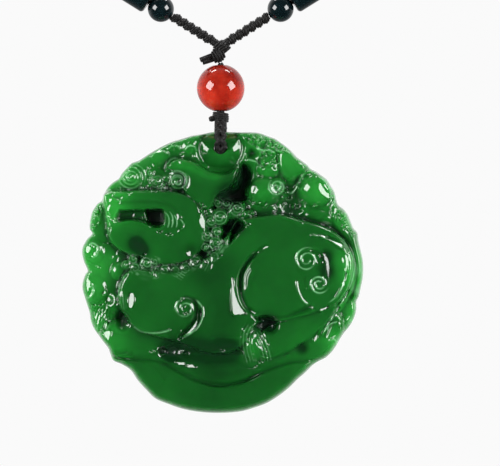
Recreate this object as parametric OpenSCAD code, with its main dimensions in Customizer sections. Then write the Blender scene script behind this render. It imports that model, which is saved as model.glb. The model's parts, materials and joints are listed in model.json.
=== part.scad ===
// Carved jade pendant on a knotted cord, in the form in which it hangs round a neck.
// The origin is the middle of the cord at the nape. +Z is up, +X is to the right of
// someone who looks at the carved face, and that face looks towards -Y.

/* [Jade pendant] */
// Width of the carved disc
pendant_w = 47; // [40:1:54]
// Height of the carved disc
pendant_h = 47; // [40:1:54]
// Highest carving in front of the disc's widest edge
front_rise = 7.5; // [5.5:0.5:9]
// Crown of the plain back behind the widest edge
back_rise = 4.5; // [3:0.5:6]
// Front height that the smooth boss round the bore would have away from the edge
boss_rise = 4; // [3:0.25:5]
// Radius of that smooth boss
boss_r = 3.4; // [3:0.1:4.5]
// Top edge of the disc to the middle of the bore
bore_drop = 2.8; // [2.5:0.1:3.6]
// Middle of the bore to the right of the disc's middle
bore_aside = -0.25; // [-1:0.05:1]

/* [Cord] */
// Diameter of the cord
cord_d = 1.8; // [1.4:0.1:2.2]
// Diameter of the thin core on which the dark beads are strung
core_d = 0.9; // [0.6:0.1:1.1]
// Number of knots in each knotted stretch
braid_knots = 6; // [4:1:8]
// Length of one of those knots
braid_pitch = 1.3; // [0.9:0.05:1.4]
// Diameter between two knots
braid_waist = 1.45; // [1.2:0.05:1.7]
// Radius of the two lumps of the junction knot
junction_r = 1.4; // [1.2:0.1:1.6]
// Top of the red bead to the place where the two strands cross
crossing_h = 3; // [2.6:0.1:3.6]
// Length of the cut tail of the junction knot, from the middle of its lower lump
tail_len = 3.2; // [2:0.1:4]
// Length of the singed tail of the stopper knot, from the middle of its front half
singed_len = 2; // [1.5:0.1:2.4]
// Diameter of that tail
singed_d = 1; // [0.8:0.1:1.2]
// Height of the stopper knot under the red bead
stopper_h = 1.45; // [1.2:0.05:2.4]
// Width of the stopper knot from left to right
stopper_w = 2.3; // [2:0.1:3]
// Underside of the stopper knot to the top edge of the disc
stopper_gap = 1.7; // [1.5:0.1:3]

/* [Beads] */
// Diameter of the red bead
red_bead_d = 8; // [6:0.5:10]
// Diameter of the two round dark beads
round_bead_d = 4.4; // [3.5:0.1:5]
// Diameter of the two dark barrel beads
tube_bead_d = 4.4; // [3.5:0.1:5]
// Length of the two dark barrel beads
tube_bead_len = 13; // [9:0.5:15]
// Radius of the rounded ends of the barrel beads
tube_edge_r = 0.6; // [0.2:0.1:0.9]

/* [Clearances] */
// Gap between neighbouring pieces
gap = 0.1; // [0.05:0.05:0.2]
// Gap all round a cord or core in a bore
bore_gap = 0.2; // [0.1:0.05:0.3]
// Gap between the cord's legs and the disc, which swings between them
leg_gap = 0.3; // [0.25:0.05:0.5]

/* [Hidden] */

// Half of the strand, from the crossing below the throat round to the nape
route = [
    [0, -125, -192], [28, -125, -174.5], [40, -122, -164], [50, -117, -149],
    [58, -110, -130], [65, -100, -105], [71, -86, -79], [75, -68, -54],
    [74, -46, -33], [66, -24, -17], [50, -9, -7], [27, -1.5, -2], [0, 0, 0]
];

// Bumps of the disc's edge. Columns: bearing, half span in degrees, rise
rim_lobes = [
    [72, 14, 0.026], [53, 11, -0.038], [30, 9, -0.04], [17, 10, -0.01],
    [4, 8, 0.008], [347, 5, -0.015], [330, 14, -0.022], [312, 16, -0.07],
    [290, 12, -0.018], [250, 14, 0.016], [228, 9, -0.032], [211, 6, -0.022],
    [188, 8, 0.012], [179, 4, -0.035], [171, 5, 0.016], [163, 4, -0.03],
    [154, 8, 0.026], [144, 6, 0.014], [122, 14, -0.016], [108, 10, -0.02]
];

// Raised forms of the carving, in shares of the disc's half sizes and of the relief.
// Columns: across, up, half width, half height, turn in degrees, rise
domes = [
    // body, haunch, shoulder and saddle of the beast
    [0.5, 0.17, 0.42, 0.26, -8, 0.85], [0.37, -0.09, 0.26, 0.27, 0, 1],
    [-0.47, -0.19, 0.28, 0.29, 0, 0.95], [0.02, -0.2, 0.28, 0.42, 0, 0.65],
    // scrolls on the haunch and the shoulder
    [0.59, 0.09, 0.1, 0.1, 0, 0.95], [0.68, -0.09, 0.09, 0.09, 0, 0.85],
    [-0.23, -0.24, 0.12, 0.13, 0, 0.85],
    // head, which opens to the left, and its lower jaw
    [-0.4, 0.5, 0.36, 0.1, 0, 0.75], [-0.22, 0.33, 0.13, 0.27, 0, 0.9],
    [-0.4, 0.12, 0.22, 0.1, -20, 0.7], [-0.6, 0.31, 0.26, 0.07, 12, 0.6],
    // crest above the head and its curl
    [-0.14, 0.63, 0.24, 0.13, -22, 0.6], [-0.31, 0.65, 0.08, 0.08, 0, 0.6],
    // curls of the mane, from the crest down to the chest
    [0.11, 0.48, 0.08, 0.08, 0, 0.7], [-0.05, 0.4, 0.09, 0.09, 0, 0.75],
    [-0.01, 0.19, 0.1, 0.1, 0, 0.8], [-0.12, 0.05, 0.11, 0.1, 0, 0.8],
    [-0.3, 0, 0.1, 0.08, 0, 0.75], [-0.52, 0.05, 0.09, 0.08, 0, 0.7],
    [-0.72, -0.04, 0.08, 0.09, 0, 0.6],
    // clouds and spirals round the left and upper edge
    [-0.63, 0.67, 0.12, 0.12, 0, 0.45], [-0.46, 0.66, 0.08, 0.08, 0, 0.45],
    [-0.44, 0.8, 0.1, 0.1, 0, 0.4], [-0.25, 0.88, 0.1, 0.08, 0, 0.4],
    [-0.86, 0.4, 0.12, 0.12, 0, 0.45], [-0.88, 0.14, 0.14, 0.13, 0, 0.5],
    [-0.88, -0.11, 0.13, 0.12, 0, 0.5], [-0.84, -0.34, 0.12, 0.13, 0, 0.45],
    [-0.76, -0.52, 0.1, 0.1, 0, 0.4],
    // clouds, ribbon and pearl on the upper right
    [0.32, 0.86, 0.2, 0.1, -18, 0.45], [0.3, 0.72, 0.11, 0.11, 0, 0.6],
    [0.29, 0.57, 0.12, 0.11, 0, 0.65], [0.53, 0.65, 0.1, 0.06, 40, 0.6],
    [0.66, 0.57, 0.14, 0.14, 0, 0.75], [0.85, 0.36, 0.12, 0.16, 20, 0.45],
    // tail that comes round the right edge, and the hind leg with its paw
    [0.86, 0.02, 0.1, 0.32, 4, 0.6], [0.78, -0.32, 0.1, 0.22, -35, 0.6],
    [0.52, -0.4, 0.26, 0.08, 38, 0.65], [0.22, -0.5, 0.12, 0.14, 0, 0.75],
    [0.76, -0.5, 0.11, 0.1, 0, 0.5], [0.88, -0.3, 0.09, 0.11, 0, 0.4],
    // smooth ingot on which the beast stands
    [-0.5, -0.7, 0.32, 0.13, -32, 0.7], [0, -0.84, 0.42, 0.14, 0, 0.8],
    [0.48, -0.74, 0.32, 0.14, 28, 0.7]
];

// Cut-in forms of the carving, with the same columns as the raised ones
pits = [
    // mouth, and the throat below the jaw
    [-0.56, 0.4, 0.2, 0.06, 0, 0.45], [-0.6, 0.19, 0.08, 0.08, 0, 0.4],
    // dark recesses between the crest, the clouds and the pearl
    [0.16, 0.65, 0.08, 0.15, -12, 0.5], [0.1, 0.55, 0.1, 0.05, 0, 0.4],
    [0.51, 0.47, 0.1, 0.08, -30, 0.4], [0.19, 0.84, 0.05, 0.05, 0, 0.3],
    // crescent behind the haunch scroll
    [0.74, 0.06, 0.06, 0.13, 20, 0.4],
    // holes between the legs, and the hollow under the belly
    [0.33, -0.37, 0.12, 0.1, 0, 0.6], [-0.36, -0.54, 0.11, 0.08, 0, 0.55],
    [-0.05, -0.55, 0.24, 0.07, 0, 0.45], [0.56, -0.53, 0.06, 0.06, 0, 0.4],
    [-0.7, -0.34, 0.05, 0.12, 0, 0.35],
    // groove under the boss
    [-0.01, 0.72, 0.17, 0.05, 0, 0.3]
];

// Share of the relief that lies below every raised form, and the least that a pit leaves
relief_floor = 0.5;
relief_least = 0.22;
// How soon the front and the back round off towards the edge
edge_power = 8;
back_power = 3;
// Width over which the boss blends into the carving
boss_blend = 1.2;
// Cells along one side of the carved face's grid, rings of the back, and how much both
// crowd towards the edge
face_cells = 64;
back_rings = 4;
crowding = 1.3;
// How sharply raised forms meet: the higher, the deeper the crease between two of them
crease = 6;

// Sides and smoothing steps of the cords
cord_sides = 8;
route_steps = 3;

// Levels up the hanging cord, measured from the crossing of the strands
crossing = route[0];
red_top = crossing.z - crossing_h;
stopper_top = red_top - red_bead_d - gap;
stopper_base = stopper_top - stopper_h;
rim_top = stopper_base - stopper_gap;
bore_z = rim_top - bore_drop;
disc_z = rim_top - pendant_h / 2;

bore_d = cord_d + 2 * bore_gap;
bead_bore_d = core_d + 2 * bore_gap;
red_bore_d = cord_d + 2 * bore_gap;

// How far the junction knot's lumps stand off the middle, and how its tail and the
// stopper knot's tail slope from straight down to the left
knot_shift = 0.2;
tail_slope = 70;
singed_slope = 77;
// A point inside the loop, from which the cord's rings are turned
loop_middle = [0, -60, -90];

// Places along the first straight run of a strand, measured from the crossing, and the
// length over which the core widens to the full cord
strand_dir = unit(route[1] - route[0]);
strand_tilt = atan2(strand_dir.x, strand_dir.z);
braid_start = junction_r + knot_shift + gap;
braid_len = braid_knots * braid_pitch;
braid_end = braid_start + braid_len;
round_start = braid_end + gap;
tube_start = round_start + round_bead_d + gap;
tube_end = tube_start + tube_bead_len;
cord_start = tube_end + gap;
core_start = braid_end + gap;
step_len = gap / 2;

function unit(v) = v / norm(v);
function total(v, i = 0) = i < len(v) ? v[i] + total(v, i + 1) : 0;
function bump(t) = abs(t) < 1 ? (1 + cos(180 * t)) / 2 : 0;
function ease(t) = let (c = max(0, min(1, t))) c * c * (3 - 2 * c);
function apart(a, b) = abs((a - b + 540) % 360 - 180);
function mirrored(p) = [-p.x, p.y, p.z];

// Edge of the disc at a bearing, in shares of its half sizes
function outline(bearing) =
    1 + total([for (row = rim_lobes) row[2] * bump(apart(bearing, row[0]) / row[1])]);

// Distance from a form's middle, where 1 is its own edge
function oval(at, row) =
    let (dx = at.x - row[0], dz = at.y - row[1], c = cos(row[4]), s = sin(row[4]))
    norm([(dx * c + dz * s) / row[2], (dz * c - dx * s) / row[3]]);
function dome(at, row) = let (q = oval(at, row)) q < 1 ? row[5] * (1 - pow(q, 3)) : 0;
function pit(at, row) = row[5] * bump(oval(at, row));

// Height of the carving as a share of front_rise, before the edge rounds it off
function carved(at) =
    let (joined = total([for (row = domes) pow(dome(at, row), crease)]),
         raised = min(1, pow(joined, 1 / crease)),
         cut = max([for (row = pits) pit(at, row)]))
    max(relief_least, relief_floor + (1 - relief_floor) * raised - cut);

// Rounding towards the edge, from 1 in the middle to 0 at the edge
function edge(share, power) = sqrt(max(0, 1 - pow(share, power)));

// Front of the disc in millimetres, where share runs from its middle to its edge
function front(at, share) =
    let (bore_gap_x = at.x * pendant_w / 2 - bore_aside,
         bore_gap_z = (at.y - 1) * pendant_h / 2 + bore_drop,
         blend = ease((norm([bore_gap_x, bore_gap_z]) - boss_r) / boss_blend))
    edge(share, edge_power) * (boss_rise + blend * (front_rise * carved(at) - boss_rise));

// Profile of the boss straight above the bore, and the line that a cord follows round it
function boss(up, rise, power) =
    rise * edge((pendant_h / 2 - bore_drop + up) / (pendant_h / 2), power);
function boss_line(up, rise, power, off) =
    let (step = 0.02,
         slope = (boss(up + step, rise, power) - boss(up - step, rise, power)) / (2 * step),
         out = unit([1, -slope]))
    [boss(up, rise, power) + off * out.x, up + off * out.y];

function tangent(path, i) = unit(path[min(i + 1, len(path) - 1)] - path[max(i - 1, 0)]);
function ring(middle, dir, aside, r) =
    let (a = unit(cross(dir, aside)), b = cross(a, dir))
    [for (k = [0:cord_sides - 1])
        middle + r * (a * cos(360 * k / cord_sides) + b * sin(360 * k / cord_sides))];

// Point between b and c on the smooth curve through a, b, c and d
function between(a, b, c, d, t) =
    0.5 * (2 * b + (c - a) * t + (2 * a - 5 * b + 4 * c - d) * t * t
        + (3 * b - a - 3 * c + d) * t * t * t);

// Solid swept along a path with a radius at each of its points
module swept(path, radii, asides) {
    last = len(path) - 1;
    points = [for (i = [0:last]) each ring(path[i], tangent(path, i), asides[i], radii[i])];
    sides = [for (i = [0:last - 1]) for (k = [0:cord_sides - 1])
        let (a = i * cord_sides + k, b = i * cord_sides + (k + 1) % cord_sides)
        each [[a, b, b + cord_sides], [a, b + cord_sides, a + cord_sides]]];
    start = [for (k = [cord_sides - 1:-1:0]) k];
    end = [for (k = [0:cord_sides - 1]) last * cord_sides + k];
    polyhedron(points, concat([start, end], sides));
}

// Place on the disc of a point of a square grid that runs from -1 to 1: squares round the
// middle become rings round it. Gives the share of the way to the edge, and the bearing.
function on_disc(a, b) =
    let (square = max(abs(a), abs(b)),
         bearing = square == 0 ? 0 : abs(a) >= abs(b)
            ? 45 * b / a + (a < 0 ? 180 : 0) : 90 - 45 * a / b + (b < 0 ? 180 : 0))
    [1 - pow(1 - square, crowding), (bearing + 360) % 360];

function disc_point(share, bearing, is_face) =
    let (at = share * outline(bearing) * [cos(bearing), sin(bearing)],
         depth = is_face ? -front(at, share) : back_rise * edge(share, back_power))
    [at.x * pendant_w / 2, depth, at.y * pendant_h / 2];

// Closed disc: the carved face as a grid, and the back as rings that end on its border
module jade_disc() {
    n = face_cells;
    around = 4 * n;
    face = [for (i = [0:n]) for (j = [0:n])
        let (place = on_disc(2 * i / n - 1, 2 * j / n - 1)) disc_point(place[0], place[1], true)];
    back = [for (i = [back_rings - 1:-1:1]) for (k = [0:around - 1])
        disc_point(1 - pow(1 - i / back_rings, crowding), (315 + 360 * k / around) % 360, false)];
    middle = len(face) + len(back);
    border = concat(
        [for (k = [0:n - 1]) n * (n + 1) + k], [for (k = [0:n - 1]) (n - k) * (n + 1) + n],
        [for (k = [0:n - 1]) n - k], [for (k = [0:n - 1]) k * (n + 1)]);
    rings = concat([border], [for (i = [0:back_rings - 2])
        [for (k = [0:around - 1]) len(face) + i * around + k]]);
    cells = [for (i = [0:n - 1]) for (j = [0:n - 1]) let (p = i * (n + 1) + j)
        each (i < n / 2) == (j < n / 2)
            ? [[p, p + n + 2, p + n + 1], [p, p + 1, p + n + 2]]
            : [[p, p + 1, p + n + 1], [p + 1, p + n + 2, p + n + 1]]];
    bands = [for (i = [0:back_rings - 2]) for (k = [0:around - 1]) let (next = (k + 1) % around)
        each [[rings[i][k], rings[i][next], rings[i + 1][next]],
              [rings[i][k], rings[i + 1][next], rings[i + 1][k]]]];
    inner = rings[back_rings - 1];
    fan = [for (k = [0:around - 1]) [inner[k], inner[(k + 1) % around], middle]];
    polyhedron(concat(face, back, [[0, back_rise, 0]]), concat(cells, bands, fan));
}

module jade_pendant() {
    color("#1f7a2c")
    difference() {
        translate([-bore_aside, crossing.y, disc_z]) jade_disc();
        translate([0, crossing.y, bore_z]) rotate([90, 0, 0])
            cylinder(d = bore_d, h = 4 * front_rise, center = true, $fn = 48);
    }
}

// One leg of the cord, from the middle of the bore over the boss to the stopper knot.
// The side is -1 in front of the disc and 1 behind it.
module cord_leg(side, rise, power) {
    bore_r = bore_d / 2;
    mouth = boss(bore_r, rise, power);
    turn = [for (a = [0:22.5:67.5]) [mouth + bore_r * sin(a), bore_r - bore_r * cos(a)]];
    over = [for (share = [0, 0.35, 0.65])
        boss_line(bore_r + share * (bore_drop - bore_r), rise, power, cord_d / 2 + leg_gap)];
    top = [[cord_d / 2, stopper_base - bore_z], [cord_d / 2, stopper_top - gap - bore_z]];
    line = concat([[0, 0]], turn, over, top);
    path = [for (p = line) [0, crossing.y + side * p.x, bore_z + p.y]];
    swept(path, [for (p = path) cord_d / 2], [for (p = path) [side, 0, 0]]);
}

module hanging_cord() {
    color("#2a2620") {
        cord_leg(-1, boss_rise, edge_power);
        cord_leg(1, back_rise, back_power);
        for (side = [-1, 1])
            translate([0, crossing.y + side * cord_d / 2, stopper_base])
                cylinder(d = stopper_w, h = stopper_h, $fn = 32);
        translate([-stopper_w / 2, crossing.y - cord_d / 2, stopper_base])
            cube([stopper_w, cord_d, stopper_h]);
        translate([0, crossing.y, stopper_top - gap])
            cylinder(d = cord_d, h = red_bead_d + 3 * gap, $fn = 32);
        translate([0, crossing.y - cord_d / 2, stopper_base + stopper_h / 2])
            rotate([0, singed_slope - 180, 0])
                cylinder(d = singed_d, h = singed_len, $fn = 24);
    }
}

module red_bead() {
    color("#c2311c")
    translate([0, crossing.y, red_top - red_bead_d / 2])
        difference() {
            sphere(d = red_bead_d, $fn = 64);
            cylinder(d = red_bore_d, h = 2 * red_bead_d, center = true, $fn = 48);
        }
}

module junction_knot() {
    low = red_top + 2 * gap + junction_r;
    color("#2a2620") {
        translate([knot_shift, crossing.y, crossing.z - knot_shift])
            sphere(r = junction_r, $fn = 32);
        translate([-2 * knot_shift, crossing.y, low]) sphere(r = junction_r, $fn = 32);
        translate([-2 * knot_shift, crossing.y, low]) rotate([0, tail_slope - 180, 0])
            cylinder(d = cord_d, h = tail_len, $fn = 24);
    }
}

// Knotted stretch on the strand to the right, with a crest and a waist for each knot
module braid() {
    steps = 2 * braid_knots;
    path = [for (i = [0:steps])
        crossing + strand_dir * (braid_start + braid_len * i / steps)];
    radii = [for (i = [0:steps]) (i % 2 == 0 ? braid_waist : cord_d) / 2];
    color("#2a2620") swept(path, radii, [for (p = path) [0, 1, 0]]);
}

// Puts a bead on a strand, with +Z along the strand and away from the crossing.
// The side is 1 on the right and -1 on the left.
module on_strand(side, along) {
    place = crossing + strand_dir * along;
    translate([side * place.x, place.y, place.z])
        rotate([0, side * strand_tilt, 0])
            children();
}

module round_bead(side) {
    color("#0d2020")
    on_strand(side, round_start + round_bead_d / 2)
        difference() {
            sphere(d = round_bead_d, $fn = 48);
            cylinder(d = bead_bore_d, h = 2 * round_bead_d, center = true, $fn = 32);
        }
}

module tube_bead(side) {
    color("#0d2020")
    on_strand(side, tube_start)
        difference() {
            union() {
                translate([0, 0, tube_edge_r])
                    cylinder(d = tube_bead_d, h = tube_bead_len - 2 * tube_edge_r, $fn = 48);
                cylinder(d = tube_bead_d - 2 * tube_edge_r, h = tube_bead_len, $fn = 48);
                for (z = [tube_edge_r, tube_bead_len - tube_edge_r])
                    translate([0, 0, z])
                        rotate_extrude($fn = 48)
                            translate([tube_bead_d / 2 - tube_edge_r, 0])
                                circle(r = tube_edge_r, $fn = 32);
            }
            translate([0, 0, -gap])
                cylinder(d = bead_bore_d, h = tube_bead_len + 2 * gap, $fn = 32);
        }
}

// Whole rest of the strand: thin core through the beads, then full cord round the neck
module neck_cord() {
    half = [for (i = [1:len(route) - 2]) for (k = [0:route_steps - 1])
        between(route[i - 1], route[i], route[i + 1],
            i + 2 < len(route) ? route[i + 2] : mirrored(route[i]), k / route_steps)];
    core = [for (s = [core_start, (core_start + tube_end) / 2, cord_start - step_len, cord_start])
        crossing + strand_dir * s];
    right = concat(core, half);
    count = len(right);
    path = concat(right, [route[len(route) - 1]],
        [for (i = [count - 1:-1:0]) mirrored(right[i])]);
    radii = [for (i = [0:len(path) - 1])
        min(i, len(path) - 1 - i) < len(core) - 1 ? core_d / 2 : cord_d / 2];
    color("#2a2620") swept(path, radii, [for (p = path) loop_middle - p]);
}

jade_pendant();
hanging_cord();
red_bead();
junction_knot();
mirror([1, 0, 0]) braid();  // braid_left
braid();  // braid_right
round_bead(-1);  // round_bead_left
round_bead(1);  // round_bead_right
tube_bead(-1);  // tube_bead_left
tube_bead(1);  // tube_bead_right
neck_cord();
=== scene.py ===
import json
import math

import bpy
import numpy as np
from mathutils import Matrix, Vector


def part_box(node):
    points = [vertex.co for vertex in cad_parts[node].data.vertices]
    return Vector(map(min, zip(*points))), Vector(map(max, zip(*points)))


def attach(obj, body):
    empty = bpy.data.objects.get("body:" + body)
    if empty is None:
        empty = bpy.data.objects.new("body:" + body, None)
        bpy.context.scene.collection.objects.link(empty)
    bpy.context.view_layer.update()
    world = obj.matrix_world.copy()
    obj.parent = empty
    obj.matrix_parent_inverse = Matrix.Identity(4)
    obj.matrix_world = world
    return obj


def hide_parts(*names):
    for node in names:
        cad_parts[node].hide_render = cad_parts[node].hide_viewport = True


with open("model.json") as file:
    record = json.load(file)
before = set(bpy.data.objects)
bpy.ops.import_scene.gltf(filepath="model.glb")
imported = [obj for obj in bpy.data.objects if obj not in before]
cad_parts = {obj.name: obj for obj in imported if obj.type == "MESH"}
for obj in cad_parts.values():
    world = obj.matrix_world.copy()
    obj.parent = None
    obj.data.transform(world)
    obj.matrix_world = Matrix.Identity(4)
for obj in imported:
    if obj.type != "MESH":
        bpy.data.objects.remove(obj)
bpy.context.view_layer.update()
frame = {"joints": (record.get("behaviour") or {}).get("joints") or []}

mm = 0.001
dice = np.random.default_rng(23)
bore = np.array(frame["joints"][0]["pos_m"])  # middle of the bore, where the pendant swings
backwards = (0, 1.0, 0)  # from the pendant's face to its back
upwards = (0, 0, 1.0)
tiny = 1e-6  # more than rounding takes off a coordinate
least = 1e-9  # keeps a divisor above zero
print("frame loaded")

# Camera

camera = {
    "pixel": 0.1661 * mm,  # what one pixel of the photograph spans at the pendant
    "bore": (220.5, 147.7),  # the bore's middle in the photograph, in pixels
    "size": (500, 466),  # the photograph's width and height in pixels
    "away": 450 * mm,  # from the camera to the pendant's middle depth
    "sensor": 36,  # sensor width in millimetres
    "facePlane": -128 * mm,  # depth at which a pixel spans the length above
    "nearest": 10 * mm,  # what is closer to the camera isn't drawn
}


def fromPhoto(right, down, depth):
    # A place in the frame for a pixel of the photograph
    x = bore[0] + (np.asarray(right) - camera["bore"][0]) * camera["pixel"]
    z = bore[2] - (np.asarray(down) - camera["bore"][1]) * camera["pixel"]
    return np.stack([x, np.broadcast_to(depth, x.shape), z], axis=-1)


def addObject(name, data):
    thing = bpy.data.objects.new(name, data)
    bpy.context.scene.collection.objects.link(thing)
    return thing


def addCamera():
    width, height = camera["size"]
    middle = fromPhoto(width / 2, height / 2, camera["facePlane"])
    lens = bpy.data.cameras.new("photo_camera")
    lens.sensor_width = camera["sensor"]
    lens.lens = camera["sensor"] * camera["away"] / (width * camera["pixel"])
    lens.clip_start = camera["nearest"]
    holder = addObject("photo_camera", lens)
    holder.location = (middle[0], middle[1] - camera["away"], middle[2])
    holder.rotation_euler = (math.radians(90), 0, 0)
    bpy.context.scene.camera = holder


addCamera()
print("camera placed")

# Helpers for shapes and materials


def unit(vectors):
    return vectors / np.linalg.norm(vectors, axis=-1, keepdims=True)


def smoothLine(points, steps=5, closed=False):
    # Cubic through every pair of neighbours, whose slopes are half the way between the
    # points before and after
    p = np.asarray(points, float)
    if closed:
        p = np.concatenate([p[-1:], p, p[:2]])
    else:
        p = np.concatenate([2 * p[:1] - p[1:2], p, 2 * p[-1:] - p[-2:-1]])
    a, b, c, d = p[:-3, None], p[1:-2, None], p[2:-1, None], p[3:, None]
    t = (np.arange(steps) / steps)[None, :, None]
    line = 0.5 * (2 * b + (c - a) * t + (2 * a - 5 * b + 4 * c - d) * t**2
                  + (3 * b - a - 3 * c + d) * t**3)
    line = line.reshape(-1, p.shape[1])
    return line if closed else np.concatenate([line, p[-2:-1]])


def evenLine(points, spacing):
    # The same line with points at equal distances along it
    lengths = np.linalg.norm(np.diff(points, axis=0), axis=1)
    along = np.concatenate([[0], np.cumsum(lengths)])
    marks = np.linspace(0, along[-1], max(2, round(along[-1] / spacing)) + 1)
    return np.stack([np.interp(marks, along, column) for column in points.T], axis=1), marks


def tangents(points):
    return unit(np.gradient(points, axis=0))


def gridQuads(rows, columns, wrapRows=False, wrapColumns=True):
    # Faces of a grid of points, whose last row and column may join the first
    r = np.arange(rows if wrapRows else rows - 1)[:, None]
    c = np.arange(columns if wrapColumns else columns - 1)[None, :]
    nextR = (r + 1) % rows
    nextC = (c + 1) % columns
    return np.stack([r * columns + c, r * columns + nextC, nextR * columns + nextC,
                     nextR * columns + c], axis=-1).reshape(-1, 4)


def makePiece(name, parts, material, body, replaced):
    # One mesh of several parts, each of which is its points, its faces and, on cords, the
    # turn round the cord and the length along it at each corner of the faces
    faces = []
    start = 0
    for part in parts:
        for group in part["faces"]:
            faces.extend((np.asarray(group) + start).tolist())
        start += len(part["points"])
    mesh = bpy.data.meshes.new(name)
    mesh.from_pydata(np.concatenate([part["points"] for part in parts]).tolist(), [], faces)
    mesh.polygons.foreach_set("use_smooth", np.ones(len(mesh.polygons), bool))
    if "windings" in parts[0]:
        corners = np.concatenate([part["windings"] for part in parts])
        mesh.uv_layers.new(name="windings").data.foreach_set("uv", corners.ravel())
    mesh.materials.append(material)
    mesh.update()
    piece = addObject(name, mesh)
    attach(piece, body)
    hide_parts(*replaced)
    return piece


def tube(path, radius, sides, aside, closed=False):
    # Circle carried along a path, on which its radius may change. The aside direction says
    # where its turn starts.
    path = np.asarray(path, float)
    along = unit(np.roll(path, -1, 0) - np.roll(path, 1, 0)) if closed else tangents(path)
    first = unit(np.cross(along, aside))
    second = np.cross(first, along)
    turn = 2 * np.pi * np.arange(sides) / sides
    reach = np.broadcast_to(np.asarray(radius, float).reshape(-1, 1), (len(path), 1))[..., None]
    points = path[:, None] + reach * (first[:, None] * np.cos(turn)[None, :, None]
                                      + second[:, None] * np.sin(turn)[None, :, None])
    faces = [gridQuads(len(path), sides, closed)[:, ::-1]]
    lengths = np.linalg.norm(np.diff(np.concatenate([path, path[:1]]), axis=0), axis=1)
    marks = np.concatenate([[0], np.cumsum(lengths)]) / mm
    r, c = np.divmod(np.arange(len(faces[0])), sides)
    turns = np.stack([c, c + 1, c + 1, c], axis=1) / sides
    windings = np.stack([turns, marks[np.stack([r, r, r + 1, r + 1], axis=1)]], axis=-1)
    windings = windings[:, ::-1].reshape(-1, 2)
    if not closed:
        last = (len(path) - 1) * sides
        faces.append([list(range(sides))])
        faces.append([list(range(last + sides - 1, last - 1, -1))])
        windings = np.concatenate([windings, np.zeros((2 * sides, 2))])
    return {"points": points.reshape(-1, 3), "faces": faces, "windings": windings}


def lathe(profile, steps, centre, axis):
    # Closed profile of distances from the axis and lengths along it, turned round the axis
    axis = unit(np.asarray(axis, float))
    first = unit(np.cross(axis, backwards))
    second = np.cross(axis, first)
    turn = 2 * np.pi * np.arange(steps) / steps
    ring = first * np.cos(turn)[:, None] + second * np.sin(turn)[:, None]
    points = centre + profile[:, None, :1] * ring[None] + profile[:, None, 1:] * axis
    return {"points": points.reshape(-1, 3), "faces": [gridQuads(len(profile), steps, True)]}


def linear(code):
    # Linear colour of an sRGB hex code
    parts = [int(code[i:i + 2], 16) / 255 for i in (1, 3, 5)]
    return [p / 12.92 if p <= 0.04045 else ((p + 0.055) / 1.055) ** 2.4 for p in parts] + [1]


def addNode(tree, kind, values=None, links=None, **settings):
    # The kind goes without the first part that all shader nodes share
    node = tree.nodes.new("ShaderNode" + kind)
    for key, value in settings.items():
        setattr(node, key, value)
    for socket, value in (values or {}).items():
        node.inputs[socket].default_value = value
    for socket, source in (links or {}).items():
        tree.links.new(source, node.inputs[socket])
    return node


def fillRamp(ramp, *stops):
    # Stops of a colour ramp: first its two ends, then what lies between them
    elements = ramp.color_ramp.elements
    for k, (position, code) in enumerate(stops):
        stop = elements[k] if k < 2 else elements.new(position)
        stop.position = position
        stop.color = linear(code)


def newMaterial(name):
    material = bpy.data.materials.new(name)
    material.use_nodes = True
    material.node_tree.nodes.clear()
    return material, material.node_tree


def finishMaterial(tree, values, links):
    shader = addNode(tree, "BsdfPrincipled", values, links)
    addNode(tree, "OutputMaterial", links={"Surface": shader.outputs[0]})


# Jade pendant

carving = {
    "perPixel": 2,  # samples of the carved height for each pixel
    "corner": (74, 124),  # upper left corner of the sampled square, in pixels
    "side": 296,  # side of that square in pixels
    "middle": (222.0, 272.5),  # middle of the disc in pixels
    "ground": 3.1,  # height of the plain ground in millimetres
    "ridgeHalfWidth": 1.3,  # half width of the spiral ridges, in pixels
    "ridgeSlope": 0.95,  # slope of the sides of all ridges
    "wallWidth": 4.0,  # width of the rounded walls of the raised forms, in pixels
    "spiralSteps": 24,  # points of a spiral ridge for each turn
    "endSlope": 4,  # how fast grooves, ridges, scarps and strands fade in at their ends
    "curlBorder": 0.25,  # share of a curl's radius over which its wave dies away
    "scarpReach": 2.2,  # how far a scarp reaches, in widths of its step
    "scarpBoost": 1.25,  # makes up for what the decay takes off a scarp's slope
    "easedSlope": 1.5,  # steepest slope of an eased step, whose mean slope is 1
    "facetBorder": (0.9, 1.2),  # how far a facet's soft border starts outside, and its width
    "glintBorder": (0.8, 0.4),  # the same for a small facet, the width as a share of it
    "polish": 0.4,  # reach in pixels of the blur that polishing gives
    "rimTop": 3.0,  # width over which the edge rounds off at the top, in pixels
    "rimBottom": 8.0,  # the same at the bottom
    "bossRise": 3.95,  # height of the smooth boss away from the edge
    "bossPower": 8,  # how late it falls off towards the edge
    "bossRound": 32,  # radius of the ball shape round the bore, in pixels
    "bossSink": 0.45,  # how much lower than the boss that ball shape stays
    "bossWidth": 19,  # how far that ball shape reaches, in pixels
    "bossBlend": 6,  # width over which it blends into the carving, in pixels
    "cells": 568,  # cells along one side of the face's grid
    "crowding": 1.05,  # how much its rings crowd towards the edge
    "triangles": 176000,  # how many triangles the face keeps
    "backCells": 71,  # cells along one side of the plain back's grid
    "backCrowding": 1.3,
    "backReach": 0.994,  # share of the way to the edge at which the back ends
    "backRise": 4.4,  # crown of the back in millimetres
    "backPower": 3,
}
pebble = {
    "radius": (1.8, 3.0),  # the least and the most in pixels
    "rise": 0.16,  # millimetres of height for each pixel of radius
    "dip": 0.3,  # share of the height by which its middle is dimpled
}

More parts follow.
